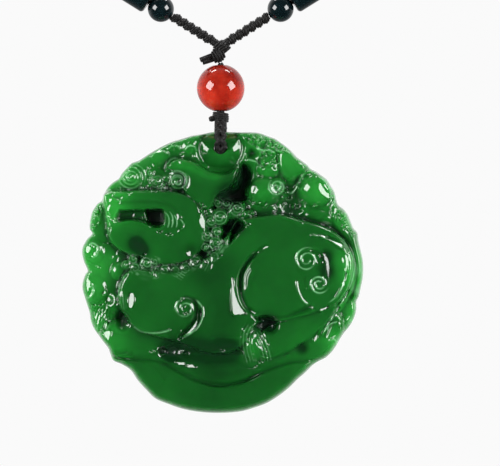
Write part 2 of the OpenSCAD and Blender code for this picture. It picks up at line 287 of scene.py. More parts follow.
# How brightly light comes through the stone, and how its undercuts darken, all painted into its colour:
# painted glow where the stone is thin, painted highlights on its ridges and edge, painted shade in its
# undercuts
shading = {
    "paintedGlow": 0.14,  # brightness of the stone in its thick middle
    "edgeGlow": 0.5,  # what its thin edge adds
    "edgeGlowWidth": 2.5,  # pixels over which that falls off
    "backGlow": 0.3,
    "paintedCrestHighlight": 0.5,  # of the crests of curls and strands
    "paintedRidgeHighlight": 0.8,  # of thin ridges on the whole
    "paintedEdgeHighlight": 0.5,  # of the thin edge
    "paintedEdgeHighlightWidth": 1.6,  # pixels over which that falls off
    "cloud": (3, 0.55, 0.25),  # reach of the clouds in pixels, mean and spread of what they leave
    "cloudRange": (0.1, 1),
    # Painted shade: deep places and narrow crevices are painted darker
    "deepReach": 9,  # pixels round a place whose mean height it is compared with
    "deepFrom": 0.45,  # millimetres below that mean at which a place starts to darken
    "deepOver": 1.8,  # millimetres over which it gets dark
    "creviceReach": 2.5,  # the same for narrow crevices
    "creviceOver": 0.7,
    "creviceMost": 0.4,
    "edgeClear": 7,  # pixels from the edge over which the darkness comes in
    "bossClear": (24, 8),  # pixels from the bore at which it starts, and over which it comes in
}

# Edge of the disc, clockwise from the top, in pixels of the photograph
discOutline = [
    (222, 131), (232, 131.5), (242, 131.5), (252, 131.5), (260, 132.5), (268, 135.5), (275, 138),
    (281, 142), (287, 146.5), (292, 151), (297, 156.5), (303, 161), (308, 165), (311, 168.5), (316, 171),
    (322, 175), (327, 179), (331, 185), (335, 192), (337, 200), (339, 205), (344, 209), (348, 214),
    (351, 221), (354, 228), (358, 233), (359, 240), (361, 249), (363, 257), (364, 266), (363.5, 278),
    (361.5, 288), (359.5, 297), (357, 302), (357, 310), (354.5, 319), (350, 327), (345, 333), (341, 339),
    (337, 346), (332, 353), (326, 358.5), (319, 362), (313, 366), (306, 373), (298, 380), (290, 388),
    (280, 396), (268, 403.5), (255, 408.5), (240, 412.5), (220, 414), (200, 413), (183, 410), (168, 405),
    (155, 399.5), (146, 391), (137, 381), (130, 371), (121, 365), (113, 361.5), (110, 356), (107.5, 349),
    (103, 343), (98.5, 337), (93.5, 330), (90, 322), (88.5, 313), (86, 305), (83.5, 297), (81.5, 290),
    (81.5, 283), (84, 275), (86.5, 270.5), (83, 262), (81, 253), (82, 246), (86, 239), (91, 233.5),
    (88.5, 228), (89.5, 218), (91.5, 211), (96, 204), (101, 200), (103, 194), (107, 187), (112, 182),
    (118, 178), (121, 173), (126, 167.5), (131, 162.5), (138, 160), (145, 155.5), (152, 151), (160, 146.5),
    (166, 143.5), (172, 141), (182, 138), (192, 135), (202, 133.5), (212, 131.5),
]

# Raised forms. Each has the height of its top and of its foot and the height of its rounded
# wall in millimetres, the width of its gentle crown in pixels, and its outline in pixels.
raisedForms = {
    "ingot": (5, 2.6, 2, 12, [(104, 350), (113, 357), (133, 358.5), (150, 358), (160, 360.5), (170, 365),
        (180, 370.5), (192, 377), (205, 382), (220, 384.5), (238, 382.5), (250, 378), (262, 371.5),
        (275, 366), (290, 361.5), (303, 360), (318, 360), (334, 356), (344, 384), (300, 425), (220, 434),
        (140, 418), (88, 370)]),
    "leftStep": (4.7, 2.8, 1.4, 12, [(98, 334), (106, 330), (116, 330), (128, 333), (142, 339), (158, 343),
        (166, 348), (160, 356), (140, 358.5), (118, 358), (100, 352)]),
    "underStep": (4.4, 2.9, 0.9, 10, [(98, 338), (118, 318), (150, 320), (190, 334), (228, 342), (262, 338),
        (300, 328), (334, 310), (345, 326), (338, 350), (322, 362), (292, 366), (262, 374), (220, 388),
        (188, 380), (163, 367), (130, 361)]),
    "scaleRim": (3.6, 2.4, 0.9, 8, [(336, 206), (345, 212), (353, 226), (361, 245), (367, 262), (367, 282),
        (360, 300), (350, 300), (353, 285), (353, 270), (349, 252), (341, 237), (332, 224), (328, 212)]),
    "tailOuter": (4.3, 3, 0.9, 8, [(346, 246), (353, 256), (356, 270), (354, 288), (345, 305), (335, 320),
        (325, 336), (318, 338), (326, 318), (338, 300), (346, 284), (348, 268), (346, 254)]),
    "tailInner": (4.9, 3.2, 1.3, 9, [(334, 236), (345, 246), (350.5, 258), (351.5, 272), (349, 288),
        (341, 303), (331, 316), (323, 332), (316, 334), (318, 318), (330, 300), (338, 284), (341, 268),
        (338, 254), (330, 243)]),
    "cloudLeaf": (3.9, 2.4, 1, 9, [(279, 149), (290, 151), (299, 160), (307, 166), (306, 172), (300, 176),
        (294, 182), (286, 181), (280, 174), (277, 162)]),
    "body": (6.2, 3.2, 2.6, 26, [(118, 300), (119, 288), (124, 275), (133, 267), (150, 268), (175, 270),
        (197, 262), (214, 250), (227, 234), (236, 220), (248, 216.5), (262, 215), (272, 213.5), (284, 214),
        (300, 218.5), (320, 224), (337, 233), (349, 246), (354, 262), (352, 280), (346, 294), (335, 306),
        (320, 312), (300, 318), (280, 322), (262, 322), (252, 332), (244, 346), (228, 354), (205, 353),
        (188, 347), (170, 341), (150, 335), (134, 327), (123, 315)]),
    "shin": (5.5, 3, 1.9, 14, [(258, 334), (275, 322), (295, 314), (312, 307), (330, 299), (339, 302),
        (332, 318), (318, 332), (302, 345), (287, 353), (270, 360), (258, 358)]),
    "head": (5.9, 2.8, 2.4, 20, [(103, 193), (112, 190.5), (125, 190.5), (140, 189.5), (160, 189.5),
        (176, 191), (187, 194), (195, 199), (201, 205), (205, 212), (208, 221), (208.5, 232), (206, 243),
        (200, 253), (191, 260.5), (178, 265), (165, 266), (155, 264), (148, 260), (140, 258), (128, 255),
        (118, 250), (110, 242), (107, 232), (106, 222), (104, 210), (102, 200)]),
    "crest": (5.6, 2.8, 2.3, 12, [(166, 168), (171, 160.5), (178, 158), (188, 159), (197, 162.5),
        (206, 168.5), (214, 172), (225, 173), (233, 169), (240, 163), (239, 173), (235, 184), (228, 191),
        (219, 196), (213, 208), (205, 211), (195, 204), (188, 197.5), (183, 190), (186, 180), (182, 173.5),
        (173, 172)]),
}

# Smooth swells of the surface. Each has the height of its top in millimetres, the width of
# its slope in pixels, and its outline in pixels.
swells = {
    "haunch": (6.7, 24, [(258, 246), (270, 236), (286, 229), (304, 226), (322, 229), (338, 236), (349, 249),
        (353, 264), (352, 276), (348, 288), (340, 300), (326, 307), (311, 310), (296, 314), (280, 317),
        (262, 317), (250, 311), (243.5, 303), (240, 293), (239, 282), (241, 270), (247, 258)]),
}

# Rounded lumps. Columns: across, down, half width, half height in pixels, turn in degrees,
# height of the foot and rise in millimetres
lumps = [
    (97, 217, 10, 14, 0, 2, 1.4), (95, 251, 14, 17, 0, 2, 1.6), (96, 289, 15, 19, 0, 2, 1.6),
    (101, 322, 12, 18, 15, 2, 1.4), (108, 206, 6, 8, 0, 2.6, 1.4), (116, 183, 10, 8, 20, 2, 1),
    (160, 157, 14, 10, 20, 2.2, 1.3), (176, 147, 9, 6, 20, 2, 1.3), (190, 147, 11, 10, 15, 2.2, 1.3),
    (181, 157, 8, 5, 0, 2.2, 0.8), (212, 133, 7, 5, 10, 2, 1), (256, 142, 13, 9, -10, 2.2, 1.2),
    (274, 149, 13, 11, -30, 2.2, 1.3), (268, 162, 10, 8, 0, 2.4, 1.4), (268, 170, 12, 9, 0, 2.6, 1.5),
    (264, 192, 17, 16, 0, 2.6, 2.3), (248, 158, 6, 5, 0, 2.2, 0.9), (289, 153, 7, 5, -30, 2.2, 1.2),
    (300, 163, 8, 5, -25, 2.2, 1.4), (312, 173, 8, 5, -20, 2.2, 1.3), (316, 190, 18, 18, 0, 2.4, 2.5),
    (331, 188, 6, 8, 0, 2.2, 1.4), (334, 206, 6, 13, -10, 2.2, 1.2), (341, 218, 8, 9, 0, 2.4, 1.2),
    (349, 229, 8, 7, 0, 2.4, 1.3), (354, 240, 6, 8, 0, 2.2, 1.2), (303, 211, 8, 6, 0, 2.6, 0.7),
    (319, 217, 17, 8, -12, 2.6, 1.1), (260, 209, 17, 8, 0, 3.1, 0.6), (354, 311, 6, 11, 15, 2, 1.3),
    (345, 321, 8, 8, 0, 2.2, 1.3), (345, 330, 7, 5, 25, 2, 1.2), (333, 338, 8, 12, 15, 2.4, 1.6),
    (324, 352, 11, 8, 30, 2.2, 1.2), (312, 362, 9, 4, -15, 2.4, 1), (254, 344, 15, 20, 15, 3, 2.8),
    (264, 352, 10, 14, 40, 3, 1.8), (256, 363, 9, 6, 0, 2.6, 1.3), (199, 268, 10, 8, 0, 3.4, 1.8),
    (208, 212, 7, 6, 0, 3.4, 1.3), (119, 271, 9, 10, 0, 2.8, 1.3), (115, 303, 9, 12, 0, 2.6, 1.2),
    (246, 215, 10, 6, 10, 3.2, 2), (234, 213, 8, 8, 0, 3.2, 2),
]

# Curls. Columns: across, down, radius in pixels, height of the foot and rise in millimetres,
# distance between turns in pixels, 1 or -1 for its hand
curls = [
    (131, 177, 15, 2.4, 1.3, 3.9, 1), (119, 188, 6, 2.2, 1, 3.2, -1), (143, 188, 6, 2.4, 0.8, 3, 1),
    (157, 181, 9, 2.6, 1, 3, -1), (151, 173, 5, 2.6, 0.9, 2.8, 1), (163, 188, 5, 2.6, 0.9, 2.8, 1),
    (166, 178, 5, 2.6, 0.9, 2.8, -1), (178, 181.5, 11, 2.8, 1.1, 4.4, 1), (277, 187, 9.5, 3.2, 1.2, 3.4, 1),
    (330, 186, 6, 2.6, 1.2, 2.8, -1), (279, 144, 5, 3, 0.8, 2.8, 1), (237, 208, 9.5, 3.4, 1.9, 3.2, 1),
    (220, 217, 10, 3.4, 1.9, 3.4, -1), (211, 221, 8, 3.4, 1.7, 3, 1), (227, 203, 7, 3.2, 1.5, 3, -1),
    (218, 203, 6, 3, 1.5, 2.8, 1), (208, 236, 7.5, 3.4, 1.8, 3, -1), (217, 232, 7, 3.4, 1.7, 3, 1),
    (216, 243, 9, 3.4, 1.9, 3.2, 1), (224, 247, 7, 3.3, 1.6, 3, -1), (206, 247, 6, 3.4, 1.6, 2.8, 1),
    (214, 256, 8, 3.3, 1.7, 3.2, -1), (196, 262, 9, 3.4, 1.9, 3, 1), (186, 268, 8, 3.4, 1.7, 3, -1),
    (176, 271, 8, 3.4, 1.7, 3, 1), (165, 270, 7.5, 3.3, 1.7, 2.8, -1), (156, 272, 8, 3.3, 1.6, 3, 1),
    (155, 261, 7, 3.3, 1.8, 2.8, -1), (147, 263, 8.5, 3.4, 1.9, 3.2, 1), (144, 274, 7, 3.2, 1.5, 2.8, -1),
    (136, 268, 8, 3.3, 1.7, 3, 1), (134, 259, 6, 3.2, 1.6, 2.8, -1), (127, 265, 6, 3.2, 1.4, 2.8, 1),
    (354, 224, 5, 2.4, 1, 2.6, 1), (343, 216, 5.5, 2.8, 1, 2.6, -1),
]

# Patches of fine parallel strands. Each has the steepness of its waves, the distance between
# them and its half width in pixels, and the line along its middle in pixels.
strands = [
    (0.9, 3.2, 9, [(104, 308), (100, 318), (97, 332)]), (0.8, 3, 6, [(109, 316), (106, 326), (103, 335)]),
    (0.5, 2.6, 9, [(170, 264), (178, 271), (186, 276)]),
    (0.6, 2.8, 8, [(208, 250), (207, 260), (202, 270)]),
    (1, 2.8, 5, [(134, 262), (127, 270), (121, 281), (118, 297)]), (1, 3.2, 7, [(158, 262), (152, 275)]),
    (1, 3.2, 9, [(252, 324), (247, 334), (247, 348), (251, 364)]),
    (1, 3.2, 8, [(256, 330), (261, 340), (266, 352), (268, 362)]),
    (1, 2.8, 6, [(331, 190), (334, 203), (334, 219)]), (0.8, 3.4, 6, [(104, 203), (106, 212), (110, 222)]),
    (0.7, 2.6, 4, [(124, 293), (124, 300), (125, 310)]),
    (0.6, 2.6, 4, [(352, 246), (356, 260), (357, 276)]),
    (0.8, 2.8, 5, [(343, 224), (349, 231), (354, 240)]),
    (0.8, 2.8, 6, [(236, 160), (239, 168), (236, 178)]),
    (0.8, 3.2, 4, [(330, 227), (337, 234), (343, 242), (347, 251)]),
]

# Fields of tiny pebbles: how many, and the outline that they fill in pixels
pebbleFields = [
    (46, [(243, 134), (258, 133), (272, 138), (284, 145), (288, 150), (276, 154), (266, 150), (254, 148),
        (246, 142)]),
    (16, [(256, 150), (266, 152), (276, 156), (280, 162), (272, 166), (262, 164), (258, 158)]),
    (14, [(282, 198), (292, 196), (302, 200), (305, 210), (296, 214), (284, 211)]),
    (12, [(147, 168), (158, 168), (168, 174), (170, 188), (160, 191), (148, 188)]),
    (14, [(336, 208), (344, 210), (352, 222), (357, 236), (352, 240), (344, 228), (336, 218)]),
    (10, [(90, 208), (98, 204), (101, 214), (98, 226), (91, 226)]),
    (9, [(200, 203), (206, 206), (209, 214), (209, 219), (204.5, 217), (202, 210)]),
    (5, [(203.5, 229.5), (208, 228), (208, 238), (204, 240)]),
]

# How a face must stand to mirror a lamp to the camera: its bearing in degrees, up from the
# right, and its slope
facings = {"left": (165, 0.53), "right": (15, 0.53), "highLeft": (112, 1.25), "highRight": (68, 1.25)}

# Flat facets, each with the lamp that it faces and its outline in pixels
facets = [
    ("right", [(232, 278), (233.5, 278), (235, 291), (237.5, 299), (241, 306), (246, 313), (240, 314),
        (233, 314.5), (231.5, 303), (231.5, 290)]),
    ("right", [(199, 220), (202.5, 218), (204, 219.5), (205, 223.5), (202.5, 228), (200.5, 226)]),
    ("left", [(131, 292), (134.5, 294), (135.5, 300), (133.5, 307.5), (130, 306.5), (129, 299)]),
    ("right", [(320, 183.5), (323, 187), (330, 197), (328.5, 199.5), (324, 196.5), (319.5, 190)]),
    ("left", [(104.5, 331.5), (111, 330.5), (111, 336), (107.5, 340), (104.5, 336)]),
    ("right", [(200.5, 309), (201.7, 314), (200.2, 321), (195.5, 328.5), (186, 335), (184.7, 334.2),
        (190, 328.5), (195, 322), (198.5, 315)]),
    ("highRight", [(312, 234), (319, 234.4), (319, 237), (312, 236.2)]),
    ("highRight", [(319.5, 234.4), (326.5, 235.8), (326, 239.2), (319.5, 237.2)]),
    ("highRight", [(327, 236), (334, 238.8), (340, 242.6), (343, 247.2), (339.6, 248), (334.6, 244.4),
        (330, 241.4), (326.5, 239.4)]),
    ("right", [(344.8, 255), (345.9, 255), (346.5, 265), (345.7, 272), (344.7, 272), (345.4, 264)]),
    ("right", [(344.6, 273), (345.6, 273), (343.2, 285), (337.5, 294.5), (335.8, 295.6), (341.6, 284)]),
    ("right", [(319, 309.6), (323, 307), (328.5, 305.4), (325, 309), (320.2, 311.6)]),
    ("right", [(176, 361), (186, 363.2), (186, 365.8), (177, 363)]),
    ("right", [(187, 363.4), (195.8, 366.2), (195.2, 368.2), (187, 366.1)]),
    ("highLeft", [(167, 164.6), (168.6, 161.2), (172.5, 158.6), (179, 158), (174.5, 159.8), (170.5, 162),
        (168.4, 165)]),
    ("left", [(305, 277), (306.2, 277), (304.9, 283), (305.4, 288.6), (304.3, 288.6), (303.9, 283)]),
    ("right", [(321.3, 276.5), (322.6, 277), (324.8, 283.5), (323.4, 283.8)]),
    ("right", [(310.5, 253.4), (314, 255.6), (318, 262.4), (316.4, 262.8), (313.4, 258.2)]),
    ("left", [(251, 186), (254.5, 186.5), (254, 190), (251.5, 193)]),
    ("right", [(269.4, 186.6), (270.8, 186.6), (273.2, 190), (277.4, 191.2), (277, 193.6), (273.4, 193.2),
        (270.6, 190.6)]),
    ("left", [(287.2, 189.2), (290.5, 189.4), (293.6, 189.4), (297.2, 184.4), (297, 188.4), (293.8, 192.8),
        (289.6, 192.4)]),
    ("right", [(347.6, 290.5), (348.8, 290.3), (344.8, 298.5), (339.9, 306), (338.7, 305.8), (343.4, 298)]),
    ("right", [(338, 306.8), (339.2, 307), (334.8, 314.2), (330.6, 320.4), (329.4, 320.2), (333.6, 313.6)]),
    ("right", [(328.9, 321.2), (330, 321.4), (326.6, 327.4), (323.4, 333.4), (322.2, 333.2), (325.4, 327)]),
]

# Small facets. Columns: across, down, half length, half width in pixels, turn in degrees,
# the lamp that it faces
glints = [
    (110, 191.4, 2.2, 1, 0, "highLeft"), (159.5, 151.8, 4.5, 1.3, 5, "highLeft"),
    (173.5, 145.5, 2.8, 1.2, -35, "highRight"), (189.8, 144, 3.2, 1.4, 45, "highLeft"),
    (181.5, 153.4, 2, 1.2, 0, "highLeft"), (194.3, 156, 1.5, 1.2, 90, "left"),
    (153, 165, 2.6, 1.2, -60, "right"), (213, 133.8, 2, 1.1, 15, "highLeft"),
    (181, 183, 1.6, 1.3, -30, "right"), (103, 210, 4.2, 1.7, -60, "right"),
    (109.3, 208.5, 4.2, 1.2, 80, "left"), (98, 223, 1.3, 1.2, 0, "left"),
    (108.5, 228.5, 2.3, 1.8, 30, "left"), (104.6, 234, 1.8, 1.1, -60, "right"),
    (92, 246, 3, 1.1, -80, "right"), (94.6, 253.5, 2, 1.5, 60, "left"), (89, 250, 1.6, 1.1, 60, "left"),
    (105.5, 243.5, 2, 1.1, -10, "highRight"), (116.7, 253.3, 2.3, 1.2, 90, "left"),
    (113, 257, 1.5, 1.2, 60, "left"), (118, 260, 3.5, 1, 70, "left"), (98.3, 267, 2, 1.3, -30, "right"),
    (111.5, 219.3, 2.5, 1.1, -30, "right"), (133.7, 215.3, 2, 1.3, 90, "left"),
    (142.5, 217.6, 1.6, 1.1, 90, "right"), (132, 267, 2.5, 1.1, 60, "left"),
    (142, 268, 1.8, 1.4, 0, "left"), (151, 269.5, 3.4, 1, 0, "highLeft"),
    (143.5, 255, 3, 1.1, 35, "highLeft"), (160, 231.8, 2.2, 1.1, 5, "highRight"),
    (169.8, 234.6, 3, 1.1, 0, "highLeft"), (184.3, 226, 3.4, 1, 80, "left"),
    (178.8, 231, 1.8, 1.1, 45, "left"), (213, 247.2, 2.4, 1, 0, "highRight"),
    (217.5, 245, 2.6, 1.1, 50, "left"), (212, 259, 2.2, 1.8, 60, "left"), (212, 266, 3.6, 1.2, 75, "left"),
    (205.5, 261, 3, 1.2, -60, "right"), (201.5, 266, 2.6, 1.1, 50, "left"),
    (193.2, 264.5, 1.8, 1.3, 90, "left"), (244.3, 150.5, 2, 1, 90, "left"),
    (266.3, 156, 1.8, 1.2, 70, "left"), (275.8, 166, 3.4, 1.6, 65, "left"),
    (258.3, 175.5, 2.4, 1.1, -60, "right"), (237.2, 167.3, 1.8, 1.4, 60, "left"),
    (289.3, 179.8, 1.2, 1.1, 0, "left"), (250, 197.3, 1.2, 1.2, 0, "left"),
    (290, 152.3, 2.2, 1.2, -15, "highRight"), (301, 163.8, 4.4, 1.4, -15, "highRight"),
    (316.5, 176.5, 2.5, 1.2, 15, "highLeft"), (306.6, 188.5, 2.6, 1.8, -75, "left"),
    (315, 205.6, 2.5, 1, 0, "highLeft"), (247.8, 224.4, 2.2, 1.1, 0, "highRight"),
    (254, 203.2, 1.6, 1, 0, "highLeft"), (260, 202.8, 1.5, 1.2, 0, "left"),
    (269, 213.4, 4.6, 1.1, 25, "highLeft"), (266, 205, 3.4, 1.1, 60, "left"),
    (277.8, 207.3, 1.3, 1.3, 0, "left"), (243.5, 213.8, 1.8, 1.1, -80, "right"),
    (250.5, 212.7, 2, 1.2, 10, "highLeft"), (223, 241.5, 3.4, 1.6, -75, "right"),
    (220.5, 256.7, 2.8, 1.2, 25, "highLeft"), (233, 207.2, 1.8, 1, 15, "highLeft"),
    (233.5, 200.5, 1.5, 1.3, 45, "left"), (342.3, 260, 2.2, 1.1, 90, "right"),
    (346.5, 227, 2.8, 1.1, 35, "left"), (346.5, 231.5, 3, 1.4, -35, "right"),
    (350.5, 231, 2.2, 1.1, 45, "left"), (354.7, 234, 2.6, 1.1, 60, "left"),
    (335.2, 210.5, 5.2, 1.3, 75, "left"), (333, 204, 3.4, 1, 65, "left"), (119.3, 285, 4, 1.3, 75, "left"),
    (121, 293, 3.4, 1.1, 75, "left"), (125.3, 275.6, 3.2, 1.2, 45, "highLeft"),
    (92.7, 285.5, 4, 1.2, -75, "right"), (83.6, 291.3, 1.8, 1.1, 30, "highLeft"),
    (104.8, 292.5, 2.6, 1.7, 70, "left"), (108.3, 298.5, 1.8, 1.1, 80, "left"),
    (93.3, 305.4, 1.8, 1.1, 0, "highRight"), (100.7, 305.3, 1.5, 1, 0, "highRight"),
    (106.5, 308, 1.6, 1, 90, "left"), (117, 304.7, 1.5, 1.3, 0, "left"), (128, 325, 1.6, 1.5, 0, "left"),
    (98.5, 320, 7, 1.1, 72, "left"), (106, 326, 5, 1.2, 78, "left"), (186, 306, 2, 1.1, 45, "left"),
    (186, 312.6, 2, 1, 0, "highLeft"), (160, 331.4, 3.6, 1, 2, "highLeft"),
    (169, 329.5, 2.2, 1, 0, "highLeft"), (180.5, 338.5, 2, 1.1, 0, "highLeft"),
    (156.5, 275, 2.6, 1.2, -60, "right"), (255, 335, 2.4, 1.4, -60, "right"),
    (243, 335, 2.2, 1.1, 55, "left"), (248.3, 331.7, 2, 1, 45, "left"), (247.4, 343.8, 2, 1.4, 80, "left"),
    (253.3, 352.5, 2.2, 1.4, 70, "left"), (260, 347, 3, 1.1, -50, "right"),
    (265, 356, 3.6, 1.2, -30, "highRight"), (266, 341, 4.4, 1.3, -58, "right"),
    (286, 354.7, 3.6, 1.1, 25, "highLeft"), (238, 348.7, 1.4, 1.3, 0, "left"),
    (247, 358, 1.8, 1.4, -50, "right"), (256, 366.3, 2.4, 1, 0, "highLeft"),
    (260.5, 361.7, 1.8, 1.1, 0, "highLeft"), (284.5, 322, 1.7, 1.1, 20, "highLeft"),
    (152.8, 351.3, 3, 1.1, 0, "highLeft"), (165.2, 351.5, 1.8, 1.3, -60, "right"),
    (174.5, 352, 1.8, 1.2, 30, "left"), (185.3, 352.5, 4.6, 1.1, 0, "highRight"),
    (222, 350.4, 2.4, 1.1, 0, "highRight"), (311.5, 361.7, 3.4, 1.1, -20, "highRight"),
    (354.5, 315, 3.4, 1.4, 65, "left"), (348.3, 319.5, 2.6, 1.2, 80, "right"),
    (347.5, 326, 2.6, 1.1, 25, "right"), (315.5, 338, 4.6, 2, 70, "left"),
    (332.8, 337, 2.4, 1.4, 70, "left"), (324, 262, 1.2, 1, 0, "left"),
]

# Scarps: small steps down towards the right-hand side of their line. Each has the slope of
# the step, the widths of the step along the line and its points in pixels.
scarps = [
    (0.9, (2, 3, 2), [(197, 200), (191, 195), (186.5, 190), (184, 186)]),
    (1.5, (3, 5, 4), [(182, 161), (176, 158.5), (171, 161), (167, 166), (165, 172)]),
    (0.35, (4, 5, 4), [(178, 171), (188, 170), (198, 173), (208, 178), (226, 180)]),
    (1.5, (2, 2.6), [(209, 166.5), (201.5, 162)]),
    (1.4, (2, 3, 2), [(131, 195), (126, 191.5), (114, 191.5)]), (1.2, (2, 3, 2), [(122, 201), (112, 197)]),
    (1, (2, 2.4, 2), [(152, 227), (145, 222), (134, 219), (114, 222)]),
    (1.2, (2, 2.6, 2), [(274, 153), (266, 150), (256, 147), (249, 142), (244, 136)]),
    (1.5, (2, 2.6, 2), [(257, 161), (252, 160), (246, 158.5)]),
    (0.9, (2, 3, 2), [(262, 169), (258.5, 165), (256.5, 160)]),
    (0.9, (2, 2.6, 2), [(265, 159), (260, 165)]), (0.9, (2, 2.6, 2), [(268, 163), (263, 169)]),
    (0.8, (2, 3, 2), [(284.5, 185), (280, 179.5)]),
    (0.9, (3, 4.5, 3), [(279.5, 189.5), (276.5, 194.5), (272, 191.5), (268.5, 186)]),
    (1.2, (2, 3, 2.5), [(304, 221), (297, 219), (290, 216), (281, 214.5)]),
    (0.8, (3, 4, 2.5), [(221, 226), (227, 224), (230, 218), (229, 210)]),
    (1, (2.5, 3), [(247, 212), (241, 205)]), (0.9, (2, 2.6, 2), [(230, 215), (233, 211), (240, 210)]),
    (1.1, (2, 2.6, 2), [(348, 254), (344, 244), (338, 235), (328, 227)]),
    (0.9, (2, 2.8, 2), [(340, 320), (331, 326), (326, 339)]),
    (0.8, (2.5, 3, 2), [(251, 268), (247, 276), (246, 289)]),
    (0.9, (2, 3, 4, 6.5, 4, 2.5), [(197, 298), (201.5, 305), (202, 314), (199, 324), (192, 331),
        (183, 337)]),
    (0.8, (2, 2.4), [(191, 324), (183, 332)]), (1.4, (2, 2.6, 2), [(128, 353), (115, 354.5)]),
    (1.4, (2, 2.6, 2), [(134, 355.5), (116, 357.5)]),
    (0.35, (4, 5, 4), [(166, 381), (158, 370), (146, 360)]),
    (1, (2, 3, 2), [(262, 322.5), (252, 324), (242, 330)]),
    (0.7, (3, 4, 3), [(250, 376), (235, 383), (218, 385.5), (200, 381), (184, 373)]),
]

# Ridge lines. Each has its half width and its points in pixels.
ridges = [
    (0.8, [(165.5, 212), (168.6, 216), (169.6, 220), (169.4, 224), (168, 228)]),
    (0.8, [(169.5, 211), (172.3, 215), (173.4, 219.5), (173.2, 224), (171.8, 228)]),
    (0.7, [(174.5, 215), (177, 219), (177.6, 223), (176.6, 228)]),
    (0.7, [(180.5, 219), (183.3, 222.5), (184, 226), (181.7, 230)]),
    (2.2, [(314, 170.5), (308, 171.5), (303, 175), (298.5, 183), (295, 190), (291, 193), (287, 189.5)]),
    (1.5, [(320, 177), (326, 183), (330, 191), (331, 200), (327, 207)]),
    (1.6, [(331, 187), (334, 193), (334.5, 199), (331, 205)]),
    (1.4, [(296, 279), (297, 288), (300, 296), (303.5, 301), (308.5, 305)]),
    (1.3, [(345, 252), (345.7, 263), (344.7, 275), (342, 285.5), (335.8, 296), (327, 303)]),
    (1.1, [(335, 232), (343, 240), (347.5, 248), (352, 257), (353.8, 263.5), (353.8, 271.5), (350.5, 284),
        (343.3, 298.3), (334, 313.5), (326, 327.5), (322.5, 334)]),
    (1, [(327, 331), (328.5, 325), (333, 322.5), (337, 321.5)]),
    (1.4, [(119, 297), (119.5, 288), (123, 279), (129, 272)]),
    (1.6, [(133, 325.5), (141, 330.5), (151, 332.5), (165, 331), (171, 329)]),
    (1.5, [(196, 299), (202, 306), (203, 315), (199, 325), (190, 333), (182, 338)]),
    (1.5, [(256, 148), (262, 150), (269, 150), (275, 153)]),
    (1.5, [(247, 159), (253, 160.5), (258, 163), (261, 169)]),
    (1.5, [(92, 285), (94, 291), (91, 297), (86, 298)]),
    (1.5, [(88, 246), (93, 243), (98, 247), (97, 255), (91, 258)]),
    (1.5, [(92, 212), (97, 209), (101, 213), (99, 221)]),
    (1.5, [(328, 341), (333, 339), (337, 343), (335, 350), (329, 352)]),
    (1.5, [(296, 158), (301, 163), (308, 166)]), (1.5, [(279, 140), (284, 145), (281, 151), (275, 150)]),
    (1.5, [(184, 151), (189, 146), (195, 147), (197, 152)]),
    (1.5, [(150, 158), (156, 152.5), (163, 151), (169, 154)]),
    (1.5, [(167, 150), (172, 146), (178, 146), (181, 150)]),
    (1.8, [(309, 234.5), (318, 235), (327, 238), (336, 243.5), (343, 250)]),
    (1.6, [(165, 170), (168, 163), (173, 158.5), (180, 159)]),
]

# Spiral ridges. Columns: across, down, radius of the outer and inner end in pixels, number of
# turns, bearing of the outer end in degrees, 1 for anticlockwise going inwards
spirals = [
    (306.5, 259.5, 12.6, 2.5, 1.9, 50, 1), (318.5, 283.5, 10, 2, 1.9, -10, -1),
    (185.5, 308, 11, 3, 1.6, 40, 1), (131, 177, 15, 3, 3.1, -60, 1), (178, 181, 11, 2.5, 2.2, 200, -1),
    (277, 187, 9, 2.5, 1.8, 120, 1),
]

# Grooves. Each has its half width in pixels, its depth in millimetres, and its points.
grooves = [
    (4, 0.6, [(258, 251.5), (250, 259), (245, 266), (241.5, 273), (240.5, 284), (242, 296), (247, 307),
        (256, 314)]),
    (3.5, 0.35, [(268, 244.5), (257, 252.5), (250, 259), (245, 266), (241.5, 273), (240.5, 284),
        (241.5, 292)]),
    (3.5, 0.7, [(179, 338), (188, 329), (195, 320), (197.5, 309), (195, 301), (188, 297.5), (181, 299)]),
    (4, 0.6, [(258, 317), (270, 319), (284, 317), (300, 311), (313, 304)]),
    (2.5, 0.3, [(340, 236), (345, 244), (348, 253)]), (2, 0.25, [(110, 243), (119, 250)]),
    (2.5, 0.4, [(206, 166), (213, 170), (224, 171.5), (233, 167), (239, 160)]),
    (2, 0.25, [(310, 250), (317, 252), (322, 258)]),
    (3, 0.2, [(116, 203.5), (130, 201.5), (145, 201), (158, 201.5), (169, 205), (178, 212), (182, 222)]),
]

